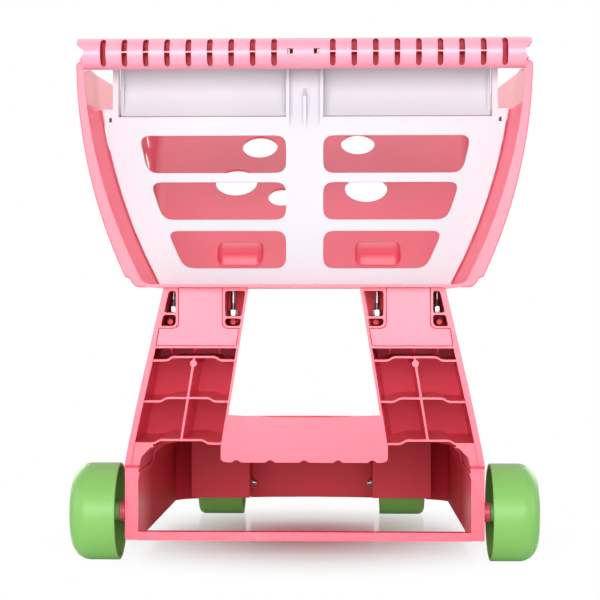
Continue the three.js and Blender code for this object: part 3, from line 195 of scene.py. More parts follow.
# Looks: the roughness and the index of refraction of each plastic
PINK_GLOSS = (0.27, 1.55)
WHITE_GLOSS = (0.42, 1.3)
GREEN_GLOSS = (0.36, 1.42)
# Painted shade: deep inside, the colour is mixed toward the painted shade colour by this share, and
# the roughness rises by this much so the sheen dulls
SHADE_SHARE = 0.85
SHADE_DULLNESS = 0.3
# Millimetres over which the painted shade fades in: into a slot, forward under the rack, and into a
# pocket
SLOT_FADE = (0.6, 2.4)
RACK_FADE = (8, 130)
POCKET_FADE = (1.5, 9)

# Studio, in metres; a lamp is its name, place, size and power in watts
FLOOR_REACH = 6
WHITE_FROM = 0.3
SENSOR_WIDTH = 36
LAMP_AIM = (0, 0, 0.25)
LAMPS = (
    ("Panel", (-0.1, -3.2, 0.7), (2.6, 1.3), 86),
    ("Left", (-2.7, -0.9, 0.9), (1.4, 1.4), 15),
    ("Right", (2.7, -0.9, 0.9), (1.4, 1.4), 14),
    ("Far left", (-1.9, 2.7, 1.2), (1.6, 1.6), 34),
    ("Far right", (1.9, 2.7, 1.2), (1.6, 1.6), 30),
    ("Top", (0.0, 0.6, 2.4), (1.8, 1.8), 10),
)


def linear(red, green, blue):
    """A colour as it shows on a screen, from 0 to 255, in the renderer's linear values."""
    return tuple(
        part / 12.92 if part <= 0.04045 else ((part + 0.055) / 1.055) ** 2.4
        for part in (red / 255, green / 255, blue / 255)
    )


# Properties that a user would change


class CartColours(bpy.types.PropertyGroup):
    """Colours of the mouldings, the metal and the floor, among them a painted shade and pinks with
    painted sheen
    """

    pink: bpy.props.FloatVectorProperty(
        name="Pink",
        description="Basket and base",
        subtype="COLOR",
        size=3,
        min=0,
        max=1,
        default=linear(248, 100, 123),
    )
    pink_deep: bpy.props.FloatVectorProperty(
        name="Deep pink",
        description="Faint clouds in the pink plastic",
        subtype="COLOR",
        size=3,
        min=0,
        max=1,
        default=linear(244, 92, 115),
    )
    # Painted sheen: a paler pink that stands in for the sheen of light on the push bar
    bar_sheen_pink: bpy.props.FloatVectorProperty(
        name="Bar pink",
        description="Outside of the push bar",
        subtype="COLOR",
        size=3,
        min=0,
        max=1,
        default=linear(250, 163, 184),
    )
    # Painted sheen: a slightly paler pink that stands in for the sheen of light on the lock plates
    plate_pink: bpy.props.FloatVectorProperty(
        name="Plate pink",
        description="Lock plates on the legs",
        subtype="COLOR",
        size=3,
        min=0,
        max=1,
        default=linear(249, 116, 140),
    )
    # Painted shade: a deep red that stands in for the shade deep in the bar's slots, in the leg
    # heads' pockets and under the rack
    painted_shade_pink: bpy.props.FloatVectorProperty(
        name="Painted shade pink",
        description="Pink plastic deep in slots, in pockets and under the rack",
        subtype="COLOR",
        size=3,
        min=0,
        max=1,
        default=linear(206, 8, 40),
    )
    white: bpy.props.FloatVectorProperty(
        name="White",
        description="Rear gate and seat flap",
        subtype="COLOR",
        size=3,
        min=0,
        max=1,
        default=linear(212, 211, 217),
    )
    white_deep: bpy.props.FloatVectorProperty(
        name="Deep white",
        description="Faint clouds in the white plastic",
        subtype="COLOR",
        size=3,
        min=0,
        max=1,
        default=linear(207, 206, 213),
    )
    green: bpy.props.FloatVectorProperty(
        name="Green",
        description="Wheels and hub caps",
        subtype="COLOR",
        size=3,
        min=0,
        max=1,
        default=linear(133, 191, 100),
    )
    green_deep: bpy.props.FloatVectorProperty(
        name="Deep green",
        description="Faint clouds in the green plastic",
        subtype="COLOR",
        size=3,
        min=0,
        max=1,
        default=linear(124, 184, 92),
    )
    steel: bpy.props.FloatVectorProperty(
        name="Steel",
        description="Axles, clips, pins, bolts and nuts",
        subtype="COLOR",
        size=3,
        min=0,
        max=1,
        default=linear(172, 174, 180),
    )
    floor: bpy.props.FloatVectorProperty(
        name="Floor",
        description="Floor of the studio",
        subtype="COLOR",
        size=3,
        min=0,
        max=1,
        default=linear(246, 246, 247),
    )


class CartSizes(bpy.types.PropertyGroup):
    """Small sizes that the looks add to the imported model"""

    edge_radius: bpy.props.FloatProperty(
        name="Edge radius",
        description="Rounding of the mouldings' edges",
        unit="LENGTH",
        default=0.6 * MM,
        min=0,
    )


class CartStage(bpy.types.PropertyGroup):
    """Camera and light of the studio"""

    camera_place: bpy.props.FloatVectorProperty(
        name="Camera place",
        description="Where the camera stands",
        subtype="XYZ",
        unit="LENGTH",
        size=3,
        default=(38.7 * MM, -1677 * MM, 250 * MM),
    )
    camera_turn: bpy.props.FloatVectorProperty(
        name="Camera turn",
        description="The camera's rotation about X, Y and Z",
        subtype="EULER",
        unit="ROTATION",
        size=3,
        default=(math.radians(90.187), 0, math.radians(1.644)),
    )
    lens: bpy.props.FloatProperty(
        name="Lens",
        description="Focal length of the camera in millimetres",
        default=92,
        min=10,
    )
    world_level: bpy.props.FloatProperty(
        name="World level",
        description="Strength of the even light from all round",
        default=0.26,
        min=0,
    )


# Shader maths


class Value:
    """A number or colour that flows through a material; arithmetic on numbers adds Math nodes."""

    def __init__(self, finish, socket):
        self.finish = finish
        self.socket = socket

    def __add__(self, other):
        return self.finish.maths("ADD", self, other)

    __radd__ = __add__

    def __sub__(self, other):
        return self.finish.maths("SUBTRACT", self, other)

    def __rsub__(self, other):
        return self.finish.maths("SUBTRACT", other, self)

    def __mul__(self, other):
        return self.finish.maths("MULTIPLY", self, other)

    __rmul__ = __mul__

    def __pow__(self, other):
        return self.finish.maths("POWER", self, other)

    def above(self, level):
        return self.finish.maths("GREATER_THAN", self, level)

    def smooth(self, low, high):
        """0 below low, 1 above high, and a smooth rise between."""
        return self.finish.add(
            "ShaderNodeMapRange",
            {"interpolation_type": "SMOOTHSTEP"},
            {"Value": self, "From Min": low, "From Max": high},
        )


class Finish:
    """The nodes of a material or world being made. Every node comes from its add method."""

    def __init__(self, owner):
        owner.use_nodes = True
        self.owner = owner
        self.nodes = owner.node_tree.nodes
        self.links = owner.node_tree.links
        self.nodes.clear()

    def add(self, kind, settings=None, sockets=None, output=0):
        """Adds a node, and gives the output that is asked for by name or number."""
        node = self.nodes.new(kind)
        for name, value in (settings or {}).items():
            setattr(node, name, value)
        for name, value in (sockets or {}).items():
            if isinstance(value, Value):
                self.links.new(value.socket, node.inputs[name])
            else:
                node.inputs[name].default_value = value
        return Value(self, node.outputs[output]) if node.outputs else None

    def maths(self, operation, *values):
        return self.add("ShaderNodeMath", {"operation": operation}, dict(enumerate(values)))

    def place(self, stretch=(1, 1, 1)):
        """Object coordinates, stretched along the axes."""
        coordinates = self.add("ShaderNodeTexCoord", output="Object")
        return self.add("ShaderNodeMapping", None, {"Vector": coordinates, "Scale": stretch})

    def millimetres(self):
        """Distances in millimetres: from the middle plane, forward from the rear face, and up."""
        place = self.place()
        x, y, z = (
            self.add("ShaderNodeSeparateXYZ", None, {0: place}, output=axis) for axis in range(3)
        )
        return self.maths("ABSOLUTE", x * (1 / MM)), (y - REAR_Y) * (1 / MM), z * (1 / MM)

    def noise(self, scale, detail, stretch=(1, 1, 1)):
        return self.add(
            "ShaderNodeTexNoise",
            None,
            {"Vector": self.place(stretch), "Scale": scale, "Detail": detail},
        )

    def mix_colour(self, factor, first, second):
        """Mixes two colours. The Mix node's colour sockets can be told by number only."""
        first, second = (
            value if isinstance(value, Value) else (*value, 1) for value in (first, second)
        )
        return self.add(
            "ShaderNodeMix", {"data_type": "RGBA"}, {0: factor, 6: first, 7: second}, output=2
        )

    def bump(self, height, strength, distance):
        return self.add(
            "ShaderNodeBump",
            None,
            {"Height": height, "Strength": strength, "Distance": distance},
        )

    def surface(self, sockets):
        """Ends a material with one shader, and gives the material."""
        self.output(self.add("ShaderNodeBsdfPrincipled", None, sockets))
        return self.owner

    def output(self, shader):
        self.add("ShaderNodeOutputMaterial", None, {"Surface": shader})


# Finishes


def slot_shade_mask(finish):
    """Where shade is painted: 1 on the walls of the push bar's slots, and 0 on its outer face and
    at its ends.
    """
    beside, forward, height = finish.millimetres()
    across = forward - BAR_CENTRE[0]
    up = height - BAR_CENTRE[1]
    depth = BAR_RADIUS - (across * across + up * up) ** 0.5
    end_x = FIRST_SLOT_X + SLOT_PITCH * (SLOTS_PER_SIDE - 1) + SLOT_SIZE[0]
    return depth.smooth(*SLOT_FADE) * (end_x - beside).above(0)


def hollow_shade_mask(finish):
    """Where shade is painted: 1 deep under the rack and in the leg heads' pockets, and 0 on the
    outside of the base.
    """
    beside, forward, height = finish.millimetres()
    inward = BASE_INNER_X - beside
    below = RACK_ROOF_Z - height
    under_rack = forward.smooth(*RACK_FADE) * inward.smooth(-1, 0) * below.smooth(-1, 0)
    drop = HEAD_TOP_Z - height
    from_outside = drop * HEAD_OUTER_SLOPE + HEAD_OUTER_X - beside
    from_inside = beside - HEAD_INNER_X - drop * HEAD_INNER_SLOPE - forward * HEAD_DEPTH_SLOPE
    walls = from_outside.smooth(1, 2) * from_inside.smooth(0.8, 1.6)
    ends = (height - HEAD_LOW_Z).above(0) * drop.above(0) * (HEAD_DEPTH - forward).above(0)
    return finish.maths("MAXIMUM", under_rack, forward.smooth(*POCKET_FADE) * walls * ends)


def moulded_plastic(name, colour, deep_colour, gloss, painted_shade=None):
    """Injection-moulded plastic: faint clouds and flow lines in tone and sheen, and fine grain.

    The optional last argument is a mask and a colour that paint shade into deep slots and hollows,
    where the plastic also turns rougher.
    """
    finish = Finish(bpy.data.materials.new(name))
    roughness, ior = gloss
    clouds = finish.noise(7, 1).smooth(0.2, 0.8)
    flow = finish.noise(26, 1, (1, 0.12, 0.35)).smooth(0.2, 0.85)
    grain = finish.noise(1500, 2)
    tone = finish.mix_colour(clouds * 0.7 + flow * 0.3, colour, deep_colour)
    if painted_shade:
        mask, shade_colour = painted_shade
        # Painted shade: where the mask is high, the colour darkens toward the shade colour
        depth = mask(finish)
        tone = finish.mix_colour(depth * SHADE_SHARE, tone, shade_colour)
        roughness = roughness + depth * SHADE_DULLNESS
    return finish.surface(
        {
            "Base Color": tone,
            "Roughness": roughness + clouds * 0.03 + flow * 0.02,
            "Normal": finish.bump(grain, 0.03, 0.15 * MM),
            "IOR": ior,
        }
    )


def plated_steel(colour):
    """Bright plated steel with fine drawn lines and dull spots."""
    finish = Finish(bpy.data.materials.new("Plated steel"))
    lines = finish.noise(420, 3, (0.2, 1, 1))
    spots = finish.noise(60, 4).smooth(0.5, 0.8)
    shade = tuple(part * 0.78 for part in colour)
    tone = finish.mix_colour(spots * 0.6 + lines * 0.3, colour, shade)
    return finish.surface(
        {
            "Base Color": tone,
            "Metallic": 1.0,
            "Roughness": 0.3 + lines * 0.12 + spots * 0.16,
            "Normal": finish.bump(lines, 0.15, 0.05 * MM),
        }
    )


def white_floor(colour):
    """Pale floor that keeps the shadow near the cart and fades to plain white further off."""
    finish = Finish(bpy.data.materials.new("Studio floor"))
    speckle = finish.noise(240, 3)
    shade = tuple(part * 0.985 for part in colour)
    tone = finish.mix_colour(speckle, colour, shade)
    sheet = finish.add(
        "ShaderNodeBsdfPrincipled",
        None,
        {"Base Color": tone, "Roughness": 0.14 + speckle * 0.05, "IOR": 1.35},
    )
    glow = finish.add("ShaderNodeEmission", None, {"Color": (1, 1, 1, 1), "Strength": 1.0})
    place = finish.place()
    reach = finish.add(
        "ShaderNodeVectorMath", {"operation": "LENGTH"}, {0: place}, output="Value"
    )
    camera_ray = finish.add("ShaderNodeLightPath", output="Is Camera Ray")
    far = reach.smooth(0, WHITE_FROM) * camera_ray
    finish.output(finish.add("ShaderNodeMixShader", None, {0: far, 1: sheet, 2: glow}))
    return finish.owner


def shaded(colour):
    """A slightly deeper tone of a pink."""
    return tuple(part * share for part, share in zip(colour, (0.97, 0.88, 0.9)))


FINISHES = {}


def make_finishes(colours):
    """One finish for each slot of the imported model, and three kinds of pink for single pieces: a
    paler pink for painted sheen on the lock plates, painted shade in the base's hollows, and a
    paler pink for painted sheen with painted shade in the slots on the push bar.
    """
    pinks = (colours.pink, colours.pink_deep)
    bar = (colours.bar_sheen_pink, shaded(colours.bar_sheen_pink))
    plate = (colours.plate_pink, shaded(colours.plate_pink))
    white = (colours.white, colours.white_deep)
    green = (colours.green, colours.green_deep)
    # Masks and colour of the painted shade in the base's hollows and in the bar's slots
    hollows = (hollow_shade_mask, colours.painted_shade_pink)
    slots = (slot_shade_mask, colours.painted_shade_pink)
    FINISHES.update(
        pink_plastic=moulded_plastic("Pink plastic", *pinks, PINK_GLOSS),
        plate_pink=moulded_plastic("Plate pink with painted sheen", *plate, PINK_GLOSS),
        hollow_pink=moulded_plastic("Pink plastic with painted hollow shade", *pinks, PINK_GLOSS, hollows),
        slotted_pink=moulded_plastic("Push bar pink with painted sheen and slot shade", *bar, PINK_GLOSS, slots),
        white_plastic=moulded_plastic("White plastic", *white, WHITE_GLOSS),
        green_plastic=moulded_plastic("Green plastic", *green, GREEN_GLOSS),
        steel=plated_steel(colours.steel),
    )


# Meshes


def slot_of(node):
    return next(
        part["material_slot"] for part in frame["record"]["subparts"] if part["node"] == node
    )


def body_of(node):
    return frame["nodes"][node]["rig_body"]


def paint(obj, finish_name):
    obj.data.materials.clear()
    obj.data.materials.append(FINISHES[finish_name])


def refined(node, name, radius, finish_name=None):
    """A copy of a CAD node with rounded edges and smooth curves, standing for the node."""
    mesh = frame["nodes"][node].data.copy()
    obj = bpy.data.objects.new(name, mesh)
    bpy.context.scene.collection.objects.link(obj)
    bm = bmesh.new()
    bm.from_mesh(mesh)
    bmesh.ops.remove_doubles(bm, verts=bm.verts, dist=0.002 * MM)
    bmesh.ops.dissolve_limit(
        bm,
        angle_limit=math.radians(0.6),
        verts=bm.verts,
        edges=bm.edges,
        use_dissolve_boundaries=False,
    )
    bm.to_mesh(mesh)
    bm.free()
    soften(obj, radius, 2, 28)
    return stand_for(obj, node, finish_name=finish_name)


def apply_modifiers(obj):
    graph = bpy.context.evaluated_depsgraph_get()
    shaped = bpy.data.meshes.new_from_object(obj.evaluated_get(graph))
    obj.modifiers.clear()
    obj.data = shaped


# Forms, from points in millimetres


def solid(name, points, faces):
    """A piece from points and faces, with y counted forward from the base's rear face."""
    mesh = bpy.data.meshes.new(name)
    mesh.from_pydata([(x * MM, y * MM + REAR_Y, z * MM) for x, y, z in points], [], faces)
    bm = bmesh.new()
    bm.from_mesh(mesh)
    bmesh.ops.remove_doubles(bm, verts=bm.verts, dist=0.001 * MM)
    bmesh.ops.recalc_face_normals(bm, faces=bm.faces)
    bm.to_mesh(mesh)
    bm.free()
    obj = bpy.data.objects.new(name, mesh)
    bpy.context.scene.collection.objects.link(obj)
    return obj


def levels(start, end, steps):
    """Evenly spaced values from start to end."""
    return [start + (end - start) * i / steps for i in range(steps + 1)]


def loft(name, rings, closed=False):
    """A skin over rings of points: capped at both ends, or closed into a loop."""
    count = len(rings[0])
    points = [point for ring in rings for point in ring]
    faces = []
    for ring in range(len(rings) - (0 if closed else 1)):
        first = ring * count
        second = (ring + 1) % len(rings) * count
        for i in range(count):
            j = (i + 1) % count
            faces.append((first + i, first + j, second + j, second + i))
    if not closed:
        faces.append(tuple(range(count)))
        faces.append(tuple(range(len(points) - count, len(points))))
    return solid(name, points, faces)


def along(axis, across, up, place):
    """A point from its place along one axis and its two other coordinates, in X, Y, Z order."""
    return {"x": (place, across, up), "y": (across, place, up), "z": (across, up, place)}[axis]


def prism(name, axis, outline, span):
    """An outline drawn out along an axis."""
    return loft(name, [[along(axis, u, v, place) for u, v in outline] for place in span])


def circle(centre, radius, count, start=0, end=math.tau):
    """Points on a circle or arc, which keeps its last point only where it is an arc."""
    angles = levels(start, end, count)
    if end - start == math.tau:
        angles.pop()
    return [
        (centre[0] + radius * math.cos(angle), centre[1] + radius * math.sin(angle))
        for angle in angles
    ]


def rod(name, axis, radius, span, centre, count=48):
    return prism(name, axis, circle(centre, radius, count), span)


def block(name, span_x, span_y, span_z):
    (left, right), (low, high) = span_x, span_z
    outline = [(left, low), (right, low), (right, high), (left, high)]
    return prism(name, "y", outline, span_y)


def turned(name, profile, side, inner_x, centre, count=96):
    """A closed profile of (radius, distance outward) turned about the X axis."""
    rings = []
    for angle in levels(0, math.tau, count)[:-1]:
        rings.append([
            (
                side * (inner_x + outward),
                centre[0] + radius * math.sin(angle),
                centre[1] + radius * math.cos(angle),
            )
            for radius, outward in profile
        ])
    return loft(name, rings, closed=True)


def upright_turned(name, profile, centre, count=32):
    """A closed profile of (radius, height) turned about an upright axis."""
    rings = []
    for angle in levels(0, math.tau, count)[:-1]:
        rings.append([
            (centre[0] + radius * math.cos(angle), centre[1] + radius * math.sin(angle), height)
            for radius, height in profile
        ])
    return loft(name, rings, closed=True)


def combine(body, tools, operation):
    """Adds tools to a body, cuts them from it or keeps only what they share."""
    for tool in tools:
        step = body.modifiers.new(operation, "BOOLEAN")
        step.operation = operation
        step.solver = "MANIFOLD"
        step.object = tool
        apply_modifiers(body)
        old = tool.data
        bpy.data.objects.remove(tool)
        bpy.data.meshes.remove(old)
    return body


def cut(body, tools):
    return combine(body, tools, "DIFFERENCE")


def soften(obj, radius, segments, angle):
    """Rounds the edges that turn by more than an angle, given in degrees."""
    bevel = obj.modifiers.new("Edges", "BEVEL")
    bevel.width = radius
    bevel.segments = segments
    bevel.limit_method = "ANGLE"
    bevel.angle_limit = math.radians(angle)
    bevel.use_clamp_overlap = True
    apply_modifiers(obj)


def stand_for(obj, node, angle=32, finish_name=None):
    """Smooths a finished piece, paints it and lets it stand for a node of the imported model.

    Edges that turn by more than the angle stay sharp.
    """
    obj.data.shade_smooth()
    obj.data.set_sharp_from_angle(angle=math.radians(angle))
    flats = obj.modifiers.new("Flats", "WEIGHTED_NORMAL")
    flats.mode = "FACE_AREA"
    flats.keep_sharp = True
    apply_modifiers(obj)
    paint(obj, finish_name or slot_of(node))
    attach(obj, body_of(node))
    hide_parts(node)
    slot_of(node)
    return obj


# Basket


def flange_half(z):
    """Half the flange's width at a height: its sides bulge, and narrow downward."""
    drop = max(0, BULGE_START_Z - z)
    return BASKET_TOP_HALF_WIDTH - BULGE_RADIUS + math.sqrt(BULGE_RADIUS**2 - drop**2)


def below_rim(z):
    """0 at the basket's rim and 1 at its floor."""
    return (BASKET_RIM_Z - z) / (BASKET_RIM_Z - BASKET_FLOOR_Z)


def mouth_half(z):
    """Half the width of the basket's opening at its rear."""
    growth = (FLANGE_BOTTOM_WIDTH - FLANGE_TOP_WIDTH) * below_rim(z)
    return flange_half(z) - FLANGE_TOP_WIDTH - growth


def gate_half(z):
    """Half the rear gate's width."""
    growth = (GATE_BOTTOM_INSET - GATE_TOP_INSET) * below_rim(z)
    return mouth_half(z) - GATE_TOP_INSET - growth


def basket_half(y, z):
    """Half the basket's inner width, which tapers forward."""
    return mouth_half(z) - max(0, y - TAPER_START_Y) * TAPER_PER_LENGTH


def floor_slope(y):
    share = (y - RAMP_START_Y + RAMP_BLEND) / (RAMP_BLEND * 2)
    return RAMP_SLOPE * min(1, max(0, share))


def floor_height(y):
    run = y - RAMP_START_Y + RAMP_BLEND
    if run <= 0:
        return BASKET_FLOOR_Z
    if run >= RAMP_BLEND * 2:
        return BASKET_FLOOR_Z + (y - RAMP_START_Y) * RAMP_SLOPE
    return BASKET_FLOOR_Z + run**2 * RAMP_SLOPE / (RAMP_BLEND * 4)


def basket_ring(y, offset):
    """A section across the basket, grown outward by an offset."""
    bottom = floor_height(y) - offset * math.hypot(1, floor_slope(y))
    radius = BASKET_CORNER_RADIUS
    top = BASKET_RIM_Z + BASKET_TOP_ROOM
    half = [(basket_half(y, z) + offset, z) for z in levels(top, bottom + radius, 20)]
    corner_x = half[-1][0] - radius
    for angle in levels(0, math.pi / 2, 8)[1:]:
        half.append((corner_x + radius * math.cos(angle), bottom + radius * (1 - math.sin(angle))))
    return [(x, y, z) for x, z in half] + [(-x, y, z) for x, z in reversed(half)]


def basket_body(name, offset, rear_y):
    """The basket's room as a solid, grown outward by an offset."""
    bend = (RAMP_START_Y - RAMP_BLEND, RAMP_START_Y + RAMP_BLEND)
    stations = [rear_y, TAPER_START_Y - TAPER_BLEND, TAPER_START_Y, TAPER_START_Y + TAPER_BLEND]
    stations += levels(*bend, 16)
    stations += levels(bend[1], RAMP_END_Y + RAMP_ROOM, 6)[1:]
    return loft(name, [basket_ring(y, offset) for y in stations])


def above_rim():
    """Everything above the rim, which dips in a soft curve under the ends of the push bar."""
    rear, top = BASKET_REAR_Y - ROOM, BASKET_RIM_Z + BASKET_TOP_ROOM + ROOM
    (low_y, low_z), (high_y, high_z) = RIM_DIP
    curve = []
    for y in levels(low_y, high_y, 8):
        share = (1 - math.cos(math.pi * (y - low_y) / (high_y - low_y))) / 2
        curve.append((y, low_z + (high_z - low_z) * share))
    outline = [(rear, low_z), *curve, (REACH_Y, high_z), (REACH_Y, top), (rear, top)]
    return prism("above_rim", "x", outline, (-REACH_X, REACH_X))


def rear_flange():
    low = BASKET_FLOOR_Z - WALL
    radius = FLANGE_CORNER_RADIUS
    ear_z = FLANGE_TOP_Z - FLANGE_EAR
    ear = (flange_half(FLANGE_TOP_Z) - FLANGE_EAR, FLANGE_TOP_Z)
    side = [(flange_half(z), z) for z in levels(ear_z, low + radius, 24)]
    foot_x = flange_half(low)
    corner = [
        (foot_x - radius + radius * math.cos(angle), low + radius - radius * math.sin(angle))
        for angle in levels(0, math.pi / 2, 8)[1:]
    ]
    half = [ear, *side, *corner]
    outline = half + [(-x, z) for x, z in reversed(half)]
    span = (BASKET_REAR_Y, BASKET_REAR_Y + FLANGE_THICKNESS)
    flange = prism("flange", "y", outline, span)
    soften(flange, FLANGE_EDGE_RADIUS * MM, 3, 60)
    return flange


def gate_wedge(side):
    """The filling between the basket's wall and the gate's edge."""
    rings = []
    for z in levels(BASKET_FLOOR_Z, WEDGE_TOP_Z, 16):
        wall_x = mouth_half(z)
        gate_x = gate_half(z) + WEDGE_GAP
        rings.append([
            (side * (wall_x + WALL / 2), BASKET_REAR_Y, z),
            (side * (wall_x + WALL / 2), GATE_FRONT_Y, z),
            (side * gate_x, GATE_FRONT_Y, z),
            (side * gate_x, GATE_FRONT_Y - WALL - FIT_GAP, z),
            (side * wall_x, BASKET_REAR_Y, z),
        ])
    return loft("wedge", rings)


def blister(side, offset, softness):
    """A hump that rises from the floor and runs into the ramp, grown by an offset."""
    top = BLISTER_TOP_Z + offset
    rear = BLISTER_REAR_Y - offset
    front = RAMP_START_Y + (BLISTER_TOP_Z - BASKET_FLOOR_Z) / RAMP_SLOPE + BLISTER_OVERRUN
    low = BASKET_FLOOR_Z - WALL - BLISTER_ROOT
    bend = BLISTER_BEND
    curve = [
        (rear + bend * (1 - math.sin(angle)), top - bend * (1 - math.cos(angle)))
        for angle in levels(0, math.pi / 2, 8)
    ]
    outline = [(rear - BLISTER_FOOT, low), (front, low), (front, top), *curve]
    span = [side * (edge + grown) for edge, grown in zip(BLISTER_SPAN, (-offset, offset))]
    body = prism("blister", "x", outline, span)
    soften(body, softness * MM, 4, 60)
    return body


def ramp_hole(x, z, radius):
    """A round cutter square to the ramp."""
    y = RAMP_START_Y + (z - BASKET_FLOOR_Z) / RAMP_SLOPE
    tilt = math.atan(RAMP_SLOPE)
    sine, cosine = math.sin(tilt), math.cos(tilt)
    rings = [
        [
            (x + u, y + reach * sine + v * cosine, z - reach * cosine + v * sine)
            for u, v in circle((0, 0), radius, 64)
        ]
        for reach in (-RAMP_HOLE_REACH, RAMP_HOLE_REACH)
    ]
    return loft("ramp_hole", rings)


def side_hole(side, y, z, radius):
    middle = basket_half(y, z)
    span = [side * (middle + reach) for reach in (-SIDE_HOLE_REACH, SIDE_HOLE_REACH)]
    return rod("side_hole", "x", radius, span, (y, z), 56)


def basket():
    lip_band = block(
        "lip_band",
        (-REACH_X, REACH_X),
        (RIM_DIP[1][0], REACH_Y),
        (BASKET_RIM_Z - LIP_THICKNESS, BASKET_RIM_Z),
    )
    lip = combine(basket_body("lip", LIP_WIDTH, BASKET_REAR_Y), [lip_band], "INTERSECT")
    inside = basket_body("inside", 0, BASKET_REAR_Y - ROOM)
    cut(inside, [blister(side, 0, 7) for _, side in SIDES])
    body = combine(basket_body("basket_fine", WALL, BASKET_REAR_Y), [lip], "UNION")
    cut(body, [above_rim(), inside])
    flange = cut(rear_flange(), [basket_body("mouth", 0, BASKET_REAR_Y - ROOM)])
    wedges = []
    for _, side in SIDES:
        trim = basket_body("trim", WALL / 2, BASKET_REAR_Y)
        wedges.append(combine(gate_wedge(side), [trim], "INTERSECT"))
    combine(body, [flange, *wedges], "UNION")
    holes = [blister(side, -WALL, 4) for _, side in SIDES]
    holes += [ramp_hole(*hole) for hole in RAMP_HOLES]
    through_floor = (BASKET_FLOOR_Z - WALL - ROOM, BASKET_FLOOR_Z + ROOM)
    for _, side in SIDES:
        holes += [side_hole(side, *hole) for hole in SIDE_HOLES]
        holes += [
            rod("bolt_hole", "z", BOLT_HOLE_RADIUS, through_floor, (side * x, BOLT_Y))
            for _, x, _ in BOLTS
        ]
    cut(body, holes)
    return stand_for(body, "basket_tub")


# Push bar


def stadium(x, z, width, height, steps=8):
    """An upright outline with round ends."""
    radius = width / 2
    straight = height / 2 - radius
    top = circle((x, z + straight), radius, steps, 0, math.pi)
    bottom = circle((x, z - straight), radius, steps, math.pi, math.tau)
    return top + bottom


def slot_cutters(side, rear):
    """The slots on one side of the push bar."""
    for i in range(SLOTS_PER_SIDE):
        outline = stadium(side * (FIRST_SLOT_X + i * SLOT_PITCH), BAR_CENTRE[1], *SLOT_SIZE)
        yield prism("slot", "y", outline, (rear - ROOM, SLOT_FRONT_Y))


def slot_webs(side, rear):
    """The thin webs across the slots on one side, except in the last."""
    centre_z = BAR_CENTRE[1]
    half = SLOT_SIZE[0] / 2 + WEB_ROOT
    for i in range(SLOTS_PER_SIDE - 1):
        x = side * (FIRST_SLOT_X + i * SLOT_PITCH)
        yield block(
            "web",
            (x - half, x + half),
            (rear + WEB_INSET, SLOT_FRONT_Y + WEB_ROOT),
            (centre_z - WEB_HALF_THICKNESS, centre_z + WEB_HALF_THICKNESS),
        )


def end_cutters(side, rear):
    """The round bite, the small window and the seat for the basket's flange on one side."""
    centre_y, centre_z = BAR_CENTRE
    full_depth = (rear - ROOM, centre_y + BAR_RADIUS + ROOM)
    bite_centre = (side * (BAR_HALF_LENGTH + BITE_OFFSET), centre_z)
    yield rod("bite", "y", BITE_RADIUS, full_depth, bite_centre, 64)
    half_x, half_z = (size / 2 for size in BAR_WINDOW_SIZE)
    window_x = side * BAR_WINDOW_X
    yield block(
        "window",
        (window_x - half_x, window_x + half_x),
        full_depth,
        (centre_z - half_z, centre_z + half_z),
    )
    yield block(
        "seat",
        (
            side * (mouth_half(centre_z - BAR_RADIUS) - FIT_GAP),
            side * (BAR_HALF_LENGTH + ROOM),
        ),
        (rear - ROOM, BASKET_REAR_Y + FLANGE_THICKNESS + FIT_GAP),
        (centre_z - BAR_RADIUS - ROOM, FLANGE_TOP_Z + FIT_GAP),
    )


def push_bar(radius):
    """The round bar; its webs join after the edges of its slots are rounded."""
    rear = BAR_CENTRE[0] - BAR_RADIUS
    span = (-BAR_HALF_LENGTH, BAR_HALF_LENGTH)
    bar = rod("push_bar_fine", "x", BAR_RADIUS, span, BAR_CENTRE, 128)
    for _, side in SIDES:
        cut(bar, [*slot_cutters(side, rear), *end_cutters(side, rear)])
    soften(bar, radius, 2, 40)
    for _, side in SIDES:
        combine(bar, slot_webs(side, rear), "UNION")
    # The bar's finish has a paler pink for painted sheen outside and painted shade in its slots
    return stand_for(bar, "handle_bar", finish_name="slotted_pink")


# Wheels and hardware


def arc(centre, radii, start, end, steps):
    """Points on a quarter ellipse about a centre, from start to end in quarter turns."""
    return [
        (
            centre[0] + radii[0] * math.sin(angle * math.pi / 2),
            centre[1] + radii[1] * math.cos(angle * math.pi / 2),
        )
        for angle in levels(start, end, steps)
    ]


def rear_wheel(node, side):
    """A hollow wheel with a rounded outer face, a hub, six ribs and a seat for its cap."""
    radius, width = REAR_WHEEL["radius"], REAR_WHEEL["width"]
    centre = (REAR_WHEEL["y"], radius)
    wall, shoulder = 3, 18
    bore, hub, cap_seat = 4.4, 9, 13.3
    straight = width - shoulder - 6
    bend = (radius - shoulder, width - shoulder)
    face = arc(bend, (shoulder, shoulder), 1, 0, 14)
    inner = arc(bend, (shoulder - wall, shoulder - wall), 0, 1, 10)
    profile = [
        (radius - wall, 0.4), (radius - 2.4, 0), (radius - 0.6, 0), (radius, 0.6),
        (radius, straight), *face,
        (14.6, width), (cap_seat, width - 1), (cap_seat, width - 6),
        (bore, width - 6), (bore, 0.6), (8.6, 0.6), (hub, 1), (hub, width - 9),
        (16.5, width - 3.2), *inner, (radius - wall, straight),
    ]
    wheel = turned(node + "_fine", profile, side, REAR_WHEEL["inner_x"], centre, 128)
    ribs = [
        wheel_rib(math.tau * turn / WHEEL_RIBS + FIRST_RIB_ANGLE, side, centre)
        for turn in range(WHEEL_RIBS)
    ]
    combine(wheel, ribs, "UNION")
    return stand_for(wheel, node)


def wheel_rib(angle, side, centre):
    """A rib inside a rear wheel, from its hub to its tread."""
    sine, cosine = math.sin(angle), math.cos(angle)
    near, far = 14, REAR_WHEEL["width"] - 19
    rings = []
    for reach in (7.5, REAR_WHEEL["radius"] - 1.8):
        rings.append([
            (
                side * (REAR_WHEEL["inner_x"] + outward),
                centre[0] + reach * sine + across * cosine,
                centre[1] + reach * cosine - across * sine,
            )
            for outward, across in ((near, -1), (far, -1), (far, 1), (near, 1))
        ])
    return loft("wheel_rib", rings)


